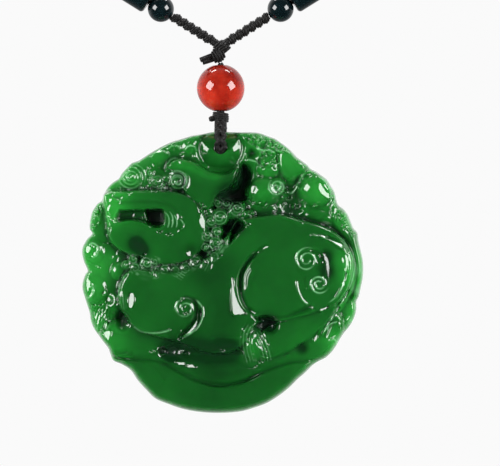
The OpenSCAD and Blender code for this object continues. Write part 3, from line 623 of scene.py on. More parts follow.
# Hollows. Each has the height of its bottom in millimetres, the width of its sloping side
# in pixels, and its outline in pixels.
hollows = {
    "bowl": (3.5, 12, [(163, 352), (172, 346), (200, 352), (235, 352), (256, 362), (268, 366), (258, 373),
        (240, 381), (220, 383), (200, 379), (183, 370), (168, 361)]),
    "mouth": (4, 4, [(118, 210.5), (123, 208.7), (150, 208.5), (161, 208.5), (164.5, 211), (165, 222),
        (161.5, 227.5), (155, 228.5), (148, 225.5), (139, 222.5), (129, 221.5), (119, 223), (115, 218)]),
    "mouthEnd": (2.2, 4, [(145, 209), (152, 208.5), (161, 208.5), (164.5, 211), (165, 222), (161, 225.5),
        (155, 226), (149, 224), (146, 218)]),
    "behindCrest": (0.6, 8, [(240, 161), (250, 164), (254, 174), (251, 184), (249, 192), (250, 200),
        (240, 205), (226, 204), (218, 199), (226, 190), (234, 184), (237, 174)]),
    "besideRinglets": (2.2, 8, [(231, 222), (238, 218), (245, 221), (246, 228), (240, 234), (234, 242),
        (228, 246), (228, 234)]),
    "underHaunch": (3.9, 9, [(250, 315), (258, 313.5), (267, 313.5), (275, 316), (280, 322), (279, 330),
        (273, 335), (265, 334), (260, 328), (255, 321)]),
    "underBelly": (3.4, 10, [(157, 350), (164, 343), (174, 340), (183, 343), (189, 349), (185, 356),
        (177, 361), (168, 363), (159, 358)]),
    "crescent": (6.2, 12, [(314, 246), (324, 246), (332, 250), (337, 260), (337, 274), (333, 286),
        (325, 287), (323, 276), (321, 264), (318, 254)]),
    "besidePearl": (2.3, 7, [(280, 183), (290, 180), (298, 184), (303, 196), (306, 208), (298, 216),
        (284, 213), (279, 204), (283, 194)]),
}

# Soft round pits. Columns: across, down, half width, half height in pixels, depth in
# millimetres
pits = [
    (139, 246, 15, 12, 0.4), (252, 153, 8, 7, 1.2), (301, 348, 11, 9, 0.35), (123, 320, 10, 13, 1.2),
    (225, 346, 30, 12, 0.8), (193, 250, 10, 12, 0.5), (163, 350, 6, 5, 0.8), (297, 182, 8, 8, 0.8),
    (228, 228, 7, 6, 0.8), (110, 300, 6, 7, 0.5), (222, 149, 38, 34, 1),
]

# Painted glow in bright, thin places of the stone, and painted shade in dark ones, whose amount is below
# zero. Columns: across, down, radius in pixels, amount
paintedGlowAndShadeSpots = [
    (92, 218, 16, 0.5), (90, 252, 18, 0.65), (92, 288, 20, 0.65), (100, 322, 14, 0.4), (112, 188, 16, 0.7),
    (133, 175, 18, 0.5), (160, 158, 14, 0.4), (188, 147, 12, 0.35), (316, 190, 20, 0.6),
    (290, 160, 16, 0.5), (262, 142, 20, 0.45), (345, 222, 14, 0.55), (336, 260, 12, 0.25),
    (355, 275, 12, 0.6), (352, 312, 12, 0.9), (334, 340, 12, 0.6), (180, 164, 7, 0.3), (192, 166, 7, 0.3),
    (204, 171, 7, 0.28), (216, 175, 7, 0.25), (112, 212, 14, 0.75), (222, 152, 16, 0.15),
    (266, 175, 14, 0.3), (262, 194, 16, 0.25), (108, 265, 16, 0.35), (116, 338, 16, 0.35),
    (350, 262, 12, 0.25), (360, 275, 10, 1), (360, 255, 8, 0.8), (345, 290, 12, 0.2), (305, 345, 20, 0.15),
    (250, 345, 14, 0.25), (215, 276, 26, -0.15), (222, 320, 36, -0.04), (215, 345, 34, -0.1),
    (220, 400, 44, -0.09), (188, 252, 14, -0.06), (140, 225, 16, 0.06), (137, 243, 6.5, -0.8),
    (143, 250, 6, -0.5), (268, 323, 8, -0.65), (170, 350, 9, -0.8), (237, 227, 7, -0.6),
    (302, 348, 6, -0.45), (123, 320, 8, -0.3), (327, 257, 7, -0.5), (327, 270, 7, -0.5),
    (186, 347, 10, -0.35), (204, 351, 11, -0.3), (222, 351, 11, -0.3), (235, 349, 10, -0.3),
    (293, 204, 10, -0.12), (230, 196, 12, -0.6), (245, 180, 9, -0.6), (156, 217, 6, -0.4),
]

# Painted highlights on places of the rim, which are pale all through. Columns: across, down, radius in
# pixels, amount
paintedHighlightSpots = [(357, 291, 6, 0.6), (361, 270, 6, 0.35), (361, 258, 5, 0.3), (352, 323, 6, 0.3)]

samples = carving["side"] * carving["perPixel"]
ruler = np.arange(samples + 1) / carving["perPixel"]
across, down = np.meshgrid(carving["corner"][0] + ruler, carving["corner"][1] + ruler)
height = np.full(across.shape, carving["ground"])
# Painted highlight along thin ridges, crests and the edge
paintedHighlight = np.zeros(across.shape)  # of the thin ridges, through which light comes
inward = np.zeros(across.shape)  # distance from the disc's edge in pixels
pixelMm = camera["pixel"] / mm


def windowRound(line, reach):
    # Part of the samples that lies within reach of a line
    corner = np.array(carving["corner"])
    low = np.floor((line.min(0) - reach - corner) * carving["perPixel"]).astype(int)
    high = np.ceil((line.max(0) + reach - corner) * carving["perPixel"]).astype(int) + 1
    low = low.clip(0, samples)
    high = high.clip(1, samples + 1)
    return np.s_[low[1]:high[1], low[0]:high[0]]


def measure(line, window, closed):
    # Distance to a line, share of the line at its nearest point, side of the line, which is
    # 1 on its right hand, and what lies inside it
    x = across[window]
    y = down[window]
    starts = line if closed else line[:-1]
    ends = np.roll(line, -1, 0) if closed else line[1:]
    gap = np.full(x.shape, np.inf)
    share = np.zeros(x.shape)
    hand = np.ones(x.shape)
    inside = np.zeros(x.shape, bool)
    for k, (a, b) in enumerate(zip(starts, ends)):
        run = b - a
        t = (((x - a[0]) * run[0] + (y - a[1]) * run[1]) / max(run @ run, least)).clip(0, 1)
        away = np.hypot(x - a[0] - t * run[0], y - a[1] - t * run[1])
        nearer = away < gap
        gap[nearer] = away[nearer]
        share[nearer] = (k + t[nearer]) / len(starts)
        hand[nearer] = np.sign((y - a[1]) * run[0] - (x - a[0]) * run[1])[nearer]
        if closed and a[1] != b[1]:
            inside ^= ((a[1] > y) != (b[1] > y)) & (x < a[0] + (y - a[1]) * run[0] / run[1])
    return gap, share, hand, inside


def alongLine(line, reach):
    # Window of the samples near an open line, their distance, share and side of it
    window = windowRound(line, reach)
    return window, *measure(line, window, False)[:3]


def withinOutline(outline, reach=1):
    # Window of the samples in an outline, their distance to it, and which lie inside it
    line = smoothLine(outline, closed=True)
    window = windowRound(line, reach)
    gap, *rest, inside = measure(line, window, True)
    return window, gap, inside


def eased(t):
    # Smooth step from 0 to 1
    t = np.clip(t, 0, 1)
    return t * t * (3 - 2 * t)


def fadingEnds(share):
    return np.minimum(1, carving["endSlope"] * np.sin(np.pi * share).clip(0))


# Painted highlight: the larger of the old and the new amount is kept
def markPaintedHighlight(window, amount):
    paintedHighlight[window] = np.maximum(paintedHighlight[window], amount)


def raiseForm(top, foot, wall, width, outline):
    # Quarter circle of a wall up from the outline, and a gentle parabola from it to the top
    window, gap, inside = withinOutline(outline)
    crown = 1 - (1 - (gap / width).clip(0, 1)) ** 2
    face = np.sqrt(1 - (1 - (gap / carving["wallWidth"]).clip(0, 1)) ** 2)
    form = foot + wall * face + (top - foot - wall) * crown
    height[window] = np.where(inside, np.maximum(height[window], form), height[window])


def sinkHollow(bottom, width, outline):
    # Smooth slope from the outline down to the bottom, a width further in
    window, gap, inside = withinOutline(outline)
    height[window] -= inside * eased(gap / width) * (height[window] - bottom).clip(0)


def raiseSwell(top, width, outline):
    # Smooth slope from the outline up to the top, a width further in
    window, gap, inside = withinOutline(outline)
    height[window] += inside * eased(gap / width) * (top - height[window]).clip(0)


def ovalShare(x, y, halfWidth, halfHeight, turn):
    # Window round an oval, and the distance from its middle as a share of the way out
    window = windowRound(np.array([[x, y]]), max(halfWidth, halfHeight))
    c, s = math.cos(math.radians(turn)), math.sin(math.radians(turn))
    dx = across[window] - x
    dy = y - down[window]
    return window, np.hypot((dx * c + dy * s) / halfWidth, (dy * c - dx * s) / halfHeight)


def raiseLump(x, y, halfWidth, halfHeight, turn, foot, rise):
    # Upper half of an ellipsoid
    window, q = ovalShare(x, y, halfWidth, halfHeight, turn)
    lump = foot + rise * np.sqrt((1 - q * q).clip(0))
    height[window] = np.where(q < 1, np.maximum(height[window], lump), height[window])


def raiseCurl(x, y, radius, foot, rise, pitch, hand):
    # Upper half of an ellipsoid, with a wave on it whose crest is a spiral
    window, q = ovalShare(x, y, radius, radius, 0)
    angle = np.arctan2(y - down[window], across[window] - x)
    start = dice.uniform(0, 2 * np.pi)
    wave = np.cos(2 * np.pi * q * radius / pitch - hand * angle + start)
    wave = wave * eased((1 - q) / carving["curlBorder"])
    ripple = pitch * pixelMm / (2 * np.pi) * wave
    # Painted highlight on the crests of the wave
    markPaintedHighlight(window, shading["paintedCrestHighlight"] * wave.clip(0) ** 3)
    lump = foot + rise * np.sqrt((1 - q * q).clip(0)) + ripple
    height[window] = np.where(q < 1, np.maximum(height[window], lump), height[window])


def sinkPit(x, y, halfWidth, halfHeight, depth):
    # Cosine dip
    window, q = ovalShare(x, y, halfWidth, halfHeight, 0)
    height[window] -= depth * (0.5 + 0.5 * np.cos(np.pi * q.clip(0, 1)))


def cutGroove(halfWidth, depth, points):
    # Cosine trough, which fades out at its ends
    window, gap, share, hand = alongLine(smoothLine(points), halfWidth)
    trough = 0.5 + 0.5 * np.cos(np.pi * (gap / halfWidth).clip(0, 1))
    height[window] -= depth * fadingEnds(share) * trough


def cutScarp(slope, widths, points):
    # Smooth step across the line, half above and half below, that dies away on both sides
    reach = carving["scarpReach"] * max(widths)
    window, gap, share, hand = alongLine(smoothLine(points), reach)
    width = np.interp(share, np.linspace(0, 1, len(widths)), widths)
    step = 0.5 - eased(hand * gap / width + 0.5)
    decay = (1 - (gap - width / 2) / (reach - width / 2)).clip(0, 1)
    rise = carving["scarpBoost"] * slope / carving["easedSlope"] * width * pixelMm
    height[window] += rise * step * decay * fadingEnds(share)


def raiseRidge(halfWidth, points):
    ridgeAlong(halfWidth, smoothLine(points))


def ridgeAlong(halfWidth, line):
    # Ridge like a roof, which fades out at its ends
    window, gap, share, hand = alongLine(line, halfWidth)
    ridge = fadingEnds(share) * (1 - gap / halfWidth).clip(0)
    height[window] += carving["ridgeSlope"] * pixelMm * halfWidth * ridge
    # Painted highlight along the ridge
    markPaintedHighlight(window, ridge**1.5)


def raiseSpiral(x, y, outer, inner, turns, start, hand):
    # Ridge along a spiral, whose radius shrinks evenly
    t = np.linspace(0, 1, int(carving["spiralSteps"] * turns))
    angle = math.radians(start) + hand * 2 * np.pi * turns * t
    reach = outer + (inner - outer) * t
    line = np.stack([x + reach * np.cos(angle), y - reach * np.sin(angle)], axis=1)
    ridgeAlong(carving["ridgeHalfWidth"], line)


def combStrands(slope, pitch, halfWidth, points):
    # Cosine waves side by side, which die away at the patch's edge and ends
    window, gap, share, hand = alongLine(smoothLine(points), halfWidth)
    fall = (1 - (gap / halfWidth) ** 2).clip(0, 1) * fadingEnds(share)
    wave = np.cos(2 * np.pi * hand * gap / pitch) * fall
    height[window] += slope * pitch * pixelMm / (2 * np.pi) * wave
    # Painted highlight on the crests of the strands
    markPaintedHighlight(window, shading["paintedCrestHighlight"] * wave.clip(0) ** 3)


def scatterPebbles(count, outline):
    # Small domes at random places inside the outline, each with a dimple in its middle
    window, gap, inside = withinOutline(outline, 0)
    chosen = dice.choice(np.flatnonzero(inside), count, replace=False)
    for x, y in zip(across[window].ravel()[chosen], down[window].ravel()[chosen]):
        radius = dice.uniform(*pebble["radius"])
        spot, q = ovalShare(x, y, radius, radius, 0)
        dome = (np.sin(np.pi * np.sqrt(q.clip(0, 1))) - pebble["dip"]) * (q < 1)
        height[spot] += pebble["rise"] * radius * dome


def standFacet(window, share, x, y, lamp):
    # Plane that mirrors the lamp, at the mean height of the place that it takes
    bearing, slope = facings[lamp]
    a = math.radians(bearing)
    away = (across[window] - x) * math.cos(a) + (y - down[window]) * math.sin(a)
    level = np.average(height[window], weights=share + least)
    height[window] += share * (level - slope * pixelMm * away - height[window])


def cutFacet(lamp, outline):
    # The soft border starts outside the outline
    start, border = carving["facetBorder"]
    line = smoothLine(outline, steps=4, closed=True)
    window = windowRound(line, reach=2)
    gap, *rest, inside = measure(line, window, True)
    depth = np.where(inside, gap, -gap)
    standFacet(window, eased((depth + start) / border), *np.mean(line, axis=0), lamp)


def cutGlint(x, y, halfLength, halfWidth, turn, lamp):
    start, border = carving["glintBorder"]
    window, q = ovalShare(x, y, halfLength + start, halfWidth + start, turn)
    standFacet(window, eased((1 - q) / border), x, y, lamp)


def carveFace():
    # One step after the other, each for all rows of its table
    steps = ((raiseLump, lumps), (raiseForm, raisedForms.values()), (raiseSwell, swells.values()),
             (raiseCurl, curls), (sinkHollow, hollows.values()), (sinkPit, pits),
             (combStrands, strands), (scatterPebbles, pebbleFields), (cutGroove, grooves),
             (cutScarp, scarps), (raiseRidge, ridges), (raiseSpiral, spirals),
             (cutFacet, facets), (cutGlint, glints))
    for step, rows in steps:
        for row in rows:
            step(*row)


def softened(values, reach):
    # Gaussian blur, whose reach is in pixels
    waves = np.fft.fftfreq(len(values))
    fall = np.exp(-2 * (np.pi * waves * reach * carving["perPixel"]) ** 2)
    return np.fft.ifft2(np.fft.fft2(values) * fall[:, None] * fall[None, :]).real


def discRadius(bearing):
    # Distance in pixels from the disc's middle to its edge
    edge = smoothLine(discOutline, steps=8, closed=True) - carving["middle"]
    angle = np.arctan2(-edge[:, 1], edge[:, 0])
    order = np.argsort(angle)
    return np.interp(bearing, angle[order], np.hypot(edge[:, 0], edge[:, 1])[order],
                     period=2 * np.pi)


def finishHeight():
    # Ball shape round the bore, rounded rim, and the floor below which nothing is cut
    global height, inward
    x = across - carving["middle"][0]
    y = carving["middle"][1] - down
    bearing = np.arctan2(y, x)
    edge = discRadius(bearing)
    share = (np.hypot(x, y) / edge).clip(0, 1)
    plain = carving["bossRise"] * np.sqrt(1 - share ** carving["bossPower"])
    out = np.hypot(across - camera["bore"][0], down - camera["bore"][1])
    ball = np.sqrt((carving["bossRound"] ** 2 - out**2).clip(0))
    top = carving["bossRise"] - carving["bossSink"]
    ball = top - (carving["bossRound"] - ball) * pixelMm
    inward = (1 - share) * edge
    low = 0.5 - 0.5 * np.sin(bearing)
    rimWidth = carving["rimTop"] + (carving["rimBottom"] - carving["rimTop"]) * low
    rim = (inward / rimWidth).clip(0, 1)
    height = softened(height, carving["polish"]) * np.sqrt(1 - (1 - rim) ** 2)
    blend = eased((out - carving["bossWidth"]) / carving["bossBlend"])
    height = blend * height + (1 - blend) * np.minimum(plain, ball)
    height = np.maximum(height, 0)


def sampled(values, x, y):
    # Value between the four nearest samples
    column = ((x - carving["corner"][0]) * carving["perPixel"]).clip(0, samples - tiny)
    row = ((y - carving["corner"][1]) * carving["perPixel"]).clip(0, samples - tiny)
    c, r = column.astype(int), row.astype(int)
    s, t = column - c, row - r
    return ((1 - t) * ((1 - s) * values[r, c] + s * values[r, c + 1])
            + t * ((1 - s) * values[r + 1, c] + s * values[r + 1, c + 1]))


def discGrid(cells, crowding, last):
    # Square grid laid over the disc, so that its squares become rings: the share of the
    # way to the edge, and the bearing, of every point
    a, b = np.meshgrid(*[np.linspace(-1, 1, cells + 1)] * 2, indexing="ij")
    square = np.maximum(abs(a), abs(b))
    safe = np.where(square == 0, 1, square)
    wide = abs(a) >= abs(b)
    lean = np.where(wide, b / np.where(a == 0, safe, a), a / np.where(b == 0, safe, b))
    quarter = np.pi / 4 * lean
    bearing = np.where(wide, quarter + np.pi * (a < 0), np.pi / 2 - quarter + np.pi * (b < 0))
    return last * (1 - (1 - square) ** crowding), bearing


def gridBorder(cells):
    # Indices round the border of a grid, one after the other
    n = cells
    k = np.arange(n)
    return np.concatenate([n * (n + 1) + k, (n - k) * (n + 1) + n, n - k, k * (n + 1)])


def discPlaces(share, bearing):
    reach = share * discRadius(bearing)
    return (carving["middle"][0] + reach * np.cos(bearing),
            carving["middle"][1] - reach * np.sin(bearing))


def jadeMesh():
    # Carved face, plain back, and the strip of triangles that joins their borders
    cells, backCells = carving["cells"], carving["backCells"]
    share, bearing = discGrid(cells, carving["crowding"], 1)
    x, y = discPlaces(share, bearing)
    front = fromPhoto(x, y, bore[1] - sampled(height, x, y) * mm * (share < 1))
    share, bearing = discGrid(backCells, carving["backCrowding"], carving["backReach"])
    x, y = discPlaces(share, bearing)
    crown = np.sqrt(1 - share ** carving["backPower"])
    back = fromPhoto(x, y, bore[1] + carving["backRise"] * mm * crown)
    fine = gridBorder(cells)
    coarse = gridBorder(backCells) + (cells + 1) ** 2
    ratio = cells // backCells
    k = np.arange(4 * cells)
    near = (k + ratio // 2) // ratio % (4 * backCells)
    far = (k + 1 + ratio // 2) // ratio % (4 * backCells)
    after = fine[(k + 1) % len(k)]
    strip = np.stack([fine[k], after, coarse[near]], axis=1)
    turns = near != far
    turn = np.stack([after, coarse[far], coarse[near]], axis=1)[turns]
    faces = [gridQuads(cells + 1, cells + 1, wrapColumns=False)[:, ::-1],
             gridQuads(backCells + 1, backCells + 1, wrapColumns=False) + (cells + 1) ** 2,
             strip, turn]
    return {"points": np.concatenate([front.reshape(-1, 3), back.reshape(-1, 3)]), "faces": faces}


def drillRod():
    # Rod of the bore's width, longer than the pendant is thick
    drill = {"radius": 1.1 * mm, "reach": 12 * mm, "sides": 64}
    ends = bore + np.array([[0, -1, 0], [0, 1, 0]]) * drill["reach"]
    rod = tube(ends, drill["radius"], drill["sides"], upwards)
    mesh = bpy.data.meshes.new("drill")
    faces = [face for group in rod["faces"] for face in np.asarray(group).tolist()]
    mesh.from_pydata(rod["points"].tolist(), [], faces)
    return addObject("drill", mesh)


def thinAndDrill(piece):
    # Fewer triangles where the face is smooth, then the bore
    cutter = drillRod()
    thin = piece.modifiers.new("thin", "DECIMATE")
    thin.ratio = carving["triangles"] / (2 * carving["cells"] ** 2)
    cut = piece.modifiers.new("bore", "BOOLEAN")
    cut.operation = "DIFFERENCE"
    cut.object = cutter
    cut.solver = "EXACT"
    ready = piece.evaluated_get(bpy.context.evaluated_depsgraph_get())
    piece.data = bpy.data.meshes.new_from_object(ready)
    piece.modifiers.clear()
    bpy.data.objects.remove(cutter)


def polishedJade():
    # Nephrite, ground and polished: a deep, slightly cloudy green under a mirror polish. Its ramp from deep
    # to bright follows a painted glow where the stone is thin; the near black green is painted shade in the
    # undercuts, and the pale green is painted highlight on its ridges
    colours = {"deep": "#072c0e", "middle": "#16621f", "bright": "#237c2c", "dark": "#082612",
               "ridge": "#7fb98a"}
    cloudSize = 5 * mm
    cloudShare = 0.18  # how much the clouds change the brightness
    rippleSize = 1.6 * mm  # faint waves that the polishing wheel leaves
    material, tree = newMaterial("polished_nephrite")
    paintedGlow = addNode(tree, "Attribute", attribute_name="paintedGlow")
    hollow = addNode(tree, "Attribute", attribute_name="hollow")
    place = addNode(tree, "TexCoord")
    cloud = addNode(tree, "TexNoise", {"Scale": 1 / cloudSize, "Detail": 3.0},
                    {"Vector": place.outputs["Object"]})
    cloudy = addNode(tree, "Math", {1: cloudShare}, {0: cloud.outputs["Fac"]},
                     operation="MULTIPLY")
    amount = addNode(tree, "Math", links={0: paintedGlow.outputs["Fac"], 1: cloudy.outputs[0]},
                     operation="ADD")
    ramp = addNode(tree, "ValToRGB", links={"Fac": amount.outputs[0]})
    fillRamp(ramp, (0, colours["deep"]), (1, colours["bright"]), (0.5, colours["middle"]))
    # Painted shade: the undercuts are mixed towards near black green
    shade = addNode(tree, "Mix", {7: linear(colours["dark"])},
                    {0: hollow.outputs["Fac"], 6: ramp.outputs["Color"]}, data_type="RGBA")
    # Painted highlight: thin ridges, crests and the edge are mixed towards pale green
    ridge = addNode(tree, "Attribute", attribute_name="ridge")
    paintedHighlightMix = addNode(tree, "Mix", {7: linear(colours["ridge"])},
                   {0: ridge.outputs["Fac"], 6: shade.outputs[2]}, data_type="RGBA")
    rough = addNode(tree, "MapRange", {"To Min": 0.05, "To Max": 0.3},
                    {"Value": hollow.outputs["Fac"]})
    ripple = addNode(tree, "TexNoise", {"Scale": 1 / rippleSize, "Detail": 1.0},
                     {"Vector": place.outputs["Object"]})
    bump = addNode(tree, "Bump", {"Strength": 0.5, "Distance": 0.02 * mm},
                   {"Height": ripple.outputs["Fac"]})
    finishMaterial(tree, {"IOR": 1.61, "Subsurface Weight": 0.6, "Subsurface Scale": 1 * mm,
                          "Subsurface Radius": (0.5, 1.4, 0.5)},
                   {"Base Color": paintedHighlightMix.outputs[2], "Roughness": rough.outputs[0],
                    "Normal": bump.outputs[0]})
    return material


def spotOf(x, y, radius, amount):
    # Round spot that fades like a bell curve
    return amount * np.exp(-((across - x) ** 2 + (down - y) ** 2) / radius**2)


def shadeFace():
    # Painted glow of the stone, painted shade in its hollows and painted highlights on its ridges: what
    # lies under the mean height round it is painted dark, thin edges are painted bright
    lower = softened(height, shading["deepReach"]) - height - shading["deepFrom"]
    deep = (lower / shading["deepOver"]).clip(0, 1)
    lower = softened(height, shading["creviceReach"]) - height
    crevice = (lower / shading["creviceOver"]).clip(0, shading["creviceMost"])
    paintedGlow = np.full(height.shape, shading["paintedGlow"])
    for row in paintedGlowAndShadeSpots:
        paintedGlow += spotOf(*row)
    for row in paintedHighlightSpots:
        np.maximum(paintedHighlight, spotOf(*row), out=paintedHighlight)
    reach, mean, spread = shading["cloud"]
    cloud = softened(dice.standard_normal(height.shape), reach)
    cloud = (mean + spread * cloud / cloud.std()).clip(*shading["cloudRange"])
    ridge = paintedHighlight * shading["paintedRidgeHighlight"] * cloud
    out = np.hypot(across - camera["bore"][0], down - camera["bore"][1])
    start, width = shading["bossClear"]
    clear = eased(inward / shading["edgeClear"]) * eased((out - start) / width)
    # Painted shade: deep places, crevices and the dark spots, kept clear of the edge and the boss
    hollow = (deep + crevice + (-paintedGlow).clip(0)) * clear
    # Painted highlight and painted glow along the thin edge
    edge = shading["paintedEdgeHighlight"] * np.exp(-inward / shading["paintedEdgeHighlightWidth"])
    paintedGlow += shading["edgeGlow"] * np.exp(-inward / shading["edgeGlowWidth"])
    return paintedGlow, hollow, np.maximum(ridge, edge)


def makeJade():
    carveFace()
    finishHeight()
    paintedGlow, hollow, ridge = shadeFace()
    piece = makePiece("carved_jade", [jadeMesh()], polishedJade(), "pendant",
                      ["jade_pendant"])
    thinAndDrill(piece)
    mesh = piece.data
    places = np.empty(len(mesh.vertices) * 3)
    mesh.vertices.foreach_get("co", places)
    places = places.reshape(-1, 3)
    x = camera["bore"][0] + (places[:, 0] - bore[0]) / camera["pixel"]
    y = camera["bore"][1] - (places[:, 2] - bore[2]) / camera["pixel"]
    onFace = places[:, 1] < bore[1] - tiny
    # Painted glow, painted shade and painted highlight, kept on the face's points for the material
    for label, values, behind in (("paintedGlow", paintedGlow, shading["backGlow"]), ("hollow", hollow, 0.0),
                                  ("ridge", ridge, 0.0)):
        field = mesh.attributes.new(label, "FLOAT", "POINT")
        field.data.foreach_set("value", np.where(onFace, sampled(values, x, y), behind))
    mesh.polygons.foreach_set("use_smooth", np.ones(len(mesh.polygons), bool))
    print("jade carved:", len(mesh.polygons), "faces")


makeJade()

# Beads and cords

strand = {
    "route": [  # half of the strand, from the crossing to the nape, in millimetres
        (0, -125, -192), (28, -125, -174.5), (40, -122, -164), (50, -117, -149),
        (58, -110, -130), (65, -100, -105), (71, -86, -79), (75, -68, -54), (74, -46, -33),
        (66, -24, -17), (50, -9, -7), (27, -1.5, -2), (0, 0, 0)
    ],
    "loopMiddle": (0, -60, -90),
    "braid": (1.7, 9.5),  # stretches of a strand, in millimetres from the crossing
    "roundBead": (9.6, 14.0),
    "tubeBead": (14.1, 27.1),
    "cordStart": 27.2,
    "cordRadius": 0.9,
    "coreRadius": 0.45,
    "core": (9.6, 18, 27.6),
    "plug": (27.2, 27.7),  # closes the braided cord's end
    "plugRadius": 0.7,
    "steps": 12,  # points of the line from one place of the route to the next
}
crossing = np.array(strand["route"][0]) * mm
route = np.array(strand["route"], float) * mm
beads = {
    "redHole": 1.1,  # radius of the red bead's bore in millimetres
    "redLip": 0.12,  # how far the lip of that bore is softened
    "redSteps": (64, 96),  # points along its half circle and round its axis
    "hole": 0.65,  # the same of the dark beads
    "lip": 0.1,
    "steps": (40, 64),
    "barrelRadius": 2.2,
    "barrelEdge": 0.6,  # radius of its rounded ends
    "edgeSteps": 9,
}


def strandDirection(side):
    direction = unit(route[1] - route[0])
    return direction * [side, 1, 1]


def onStrand(side, along):
    return crossing + strandDirection(side) * along * mm


def ballProfile(radius, hole, steps, lip):
    # Half circle from hole to hole, and the straight bore between its softened lips
    start = math.asin((hole + lip) / radius)
    angle = np.linspace(start, np.pi - start, steps)
    ends = math.sqrt(radius**2 - hole**2) - lip
    outer = np.stack([radius * np.sin(angle), -radius * np.cos(angle)], axis=1)
    return np.concatenate([outer, [[hole, ends], [hole, -ends]]])


def barrelProfile(radius, length, edge, hole, lip):
    # Straight barrel with quarter circles at its ends, and its bore
    angle = np.linspace(0, np.pi / 2, beads["edgeSteps"])
    corner = np.stack([radius - edge + edge * np.sin(angle), edge - edge * np.cos(angle)], axis=1)
    far = corner[::-1] * [1, -1] + [0, length]
    face = hole + lip
    return np.concatenate([[[hole, lip], [face, 0]], corner, far,
                           [[face, length], [hole, length - lip]]])


def polishedAgate():
    # Red agate, tumbled and polished: orange light inside the bead, with a faint cloud
    cloudSize = 3 * mm
    material, tree = newMaterial("polished_red_agate")
    place = addNode(tree, "TexCoord")
    cloud = addNode(tree, "TexNoise", {"Scale": 1 / cloudSize, "Detail": 2.0},
                    {"Vector": place.outputs["Object"]})
    ramp = addNode(tree, "ValToRGB", links={"Fac": cloud.outputs["Fac"]})
    fillRamp(ramp, (0.3, "#75120a"), (0.75, "#a42a1a"))
    finishMaterial(tree, {"IOR": 1.54, "Roughness": 0.05, "Subsurface Weight": 0.5,
                          "Subsurface Scale": 1 * mm, "Subsurface Radius": (2.0, 0.6, 0.4)},
                   {"Base Color": ramp.outputs["Color"]})
    return material


def polishedDarkStone():
    # Blackish green serpentine, polished: nearly black, with a green breath in the light
    cloudSize = 1.5 * mm
    material, tree = newMaterial("polished_dark_serpentine")
    place = addNode(tree, "TexCoord")
    cloud = addNode(tree, "TexNoise", {"Scale": 1 / cloudSize, "Detail": 3.0},
                    {"Vector": place.outputs["Object"]})
    ramp = addNode(tree, "ValToRGB", links={"Fac": cloud.outputs["Fac"]})
    fillRamp(ramp, (0, "#03080a"), (1, "#0a191c"))
    finishMaterial(tree, {"IOR": 1.57, "Roughness": 0.06}, {"Base Color": ramp.outputs["Color"]})
    return material


def waxedCord():
    # Waxed cotton, twisted and braided: soft dark brown ply with grey glints on its fibres
    plySpacing = 0.45  # millimetres along the cord from ply to ply, as coarse as shows
    pliesRound = 2
    plyShare = 0.25  # how much the plies show beside the fuzz
    fuzzSize = 0.35 * mm
    material, tree = newMaterial("waxed_braided_cotton")
    winding = addNode(tree, "UVMap", uv_map="windings")
    parts = addNode(tree, "SeparateXYZ", links={0: winding.outputs["UV"]})
    turns = addNode(tree, "Math", {1: pliesRound}, {0: parts.outputs["X"]}, operation="MULTIPLY")
    lengths = addNode(tree, "Math", {1: 1 / plySpacing}, {0: parts.outputs["Y"]},
                      operation="MULTIPLY")
    phase = addNode(tree, "Math", links={0: turns.outputs[0], 1: lengths.outputs[0]},
                    operation="ADD")
    angle = addNode(tree, "Math", {1: 2 * math.pi}, {0: phase.outputs[0]},
                    operation="MULTIPLY")
    wave = addNode(tree, "Math", links={0: angle.outputs[0]}, operation="SINE")
    place = addNode(tree, "TexCoord")
    fuzz = addNode(tree, "TexNoise", {"Scale": 1 / fuzzSize, "Detail": 3.0},
                   {"Vector": place.outputs["Object"]})
    both = addNode(tree, "Math", {1: plyShare}, {0: wave.outputs[0], 2: fuzz.outputs["Fac"]},
                   operation="MULTIPLY_ADD")
    ramp = addNode(tree, "ValToRGB", links={"Fac": both.outputs[0]})
    fillRamp(ramp, (0.25, "#040404"), (0.85, "#110f0d"))
    bump = addNode(tree, "Bump", {"Strength": 0.6, "Distance": 0.08 * mm},
                   {"Height": both.outputs[0]})
    finishMaterial(tree, {"Roughness": 0.5, "Specular IOR Level": 0.25, "Sheen Weight": 0.06,
                          "Sheen Roughness": 0.5},
                   {"Base Color": ramp.outputs["Color"], "Normal": bump.outputs[0]})
    return material


cordMaterial = waxedCord()
stoneMaterial = polishedDarkStone()


def makeBeads():
    low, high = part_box("red_bead")
    radius = (high.x - low.x) / 2
    steps, turns = beads["redSteps"]
    profile = ballProfile(radius, beads["redHole"] * mm, steps, beads["redLip"] * mm)
    makePiece("agate_bead", [lathe(profile, turns, np.array((low + high) / 2), (0, 0, 1))],
              polishedAgate(), "necklace", ["red_bead"])
    steps, turns = beads["steps"]
    for side, word in ((-1, "left"), (1, "right")):
        axis = strandDirection(side)
        start, end = strand["roundBead"]
        profile = ballProfile((end - start) / 2, beads["hole"], steps, beads["lip"]) * mm
        ball = lathe(profile, turns, onStrand(side, (start + end) / 2), axis)
        makePiece("round_stone_" + word, [ball], stoneMaterial, "necklace",
                  ["round_bead_" + word])
        start, end = strand["tubeBead"]
        profile = barrelProfile(beads["barrelRadius"], end - start, beads["barrelEdge"],
                                beads["hole"], beads["lip"]) * mm
        makePiece("barrel_stone_" + word, [lathe(profile, turns, onStrand(side, start), axis)],
                  stoneMaterial, "necklace", ["tube_bead_" + word])


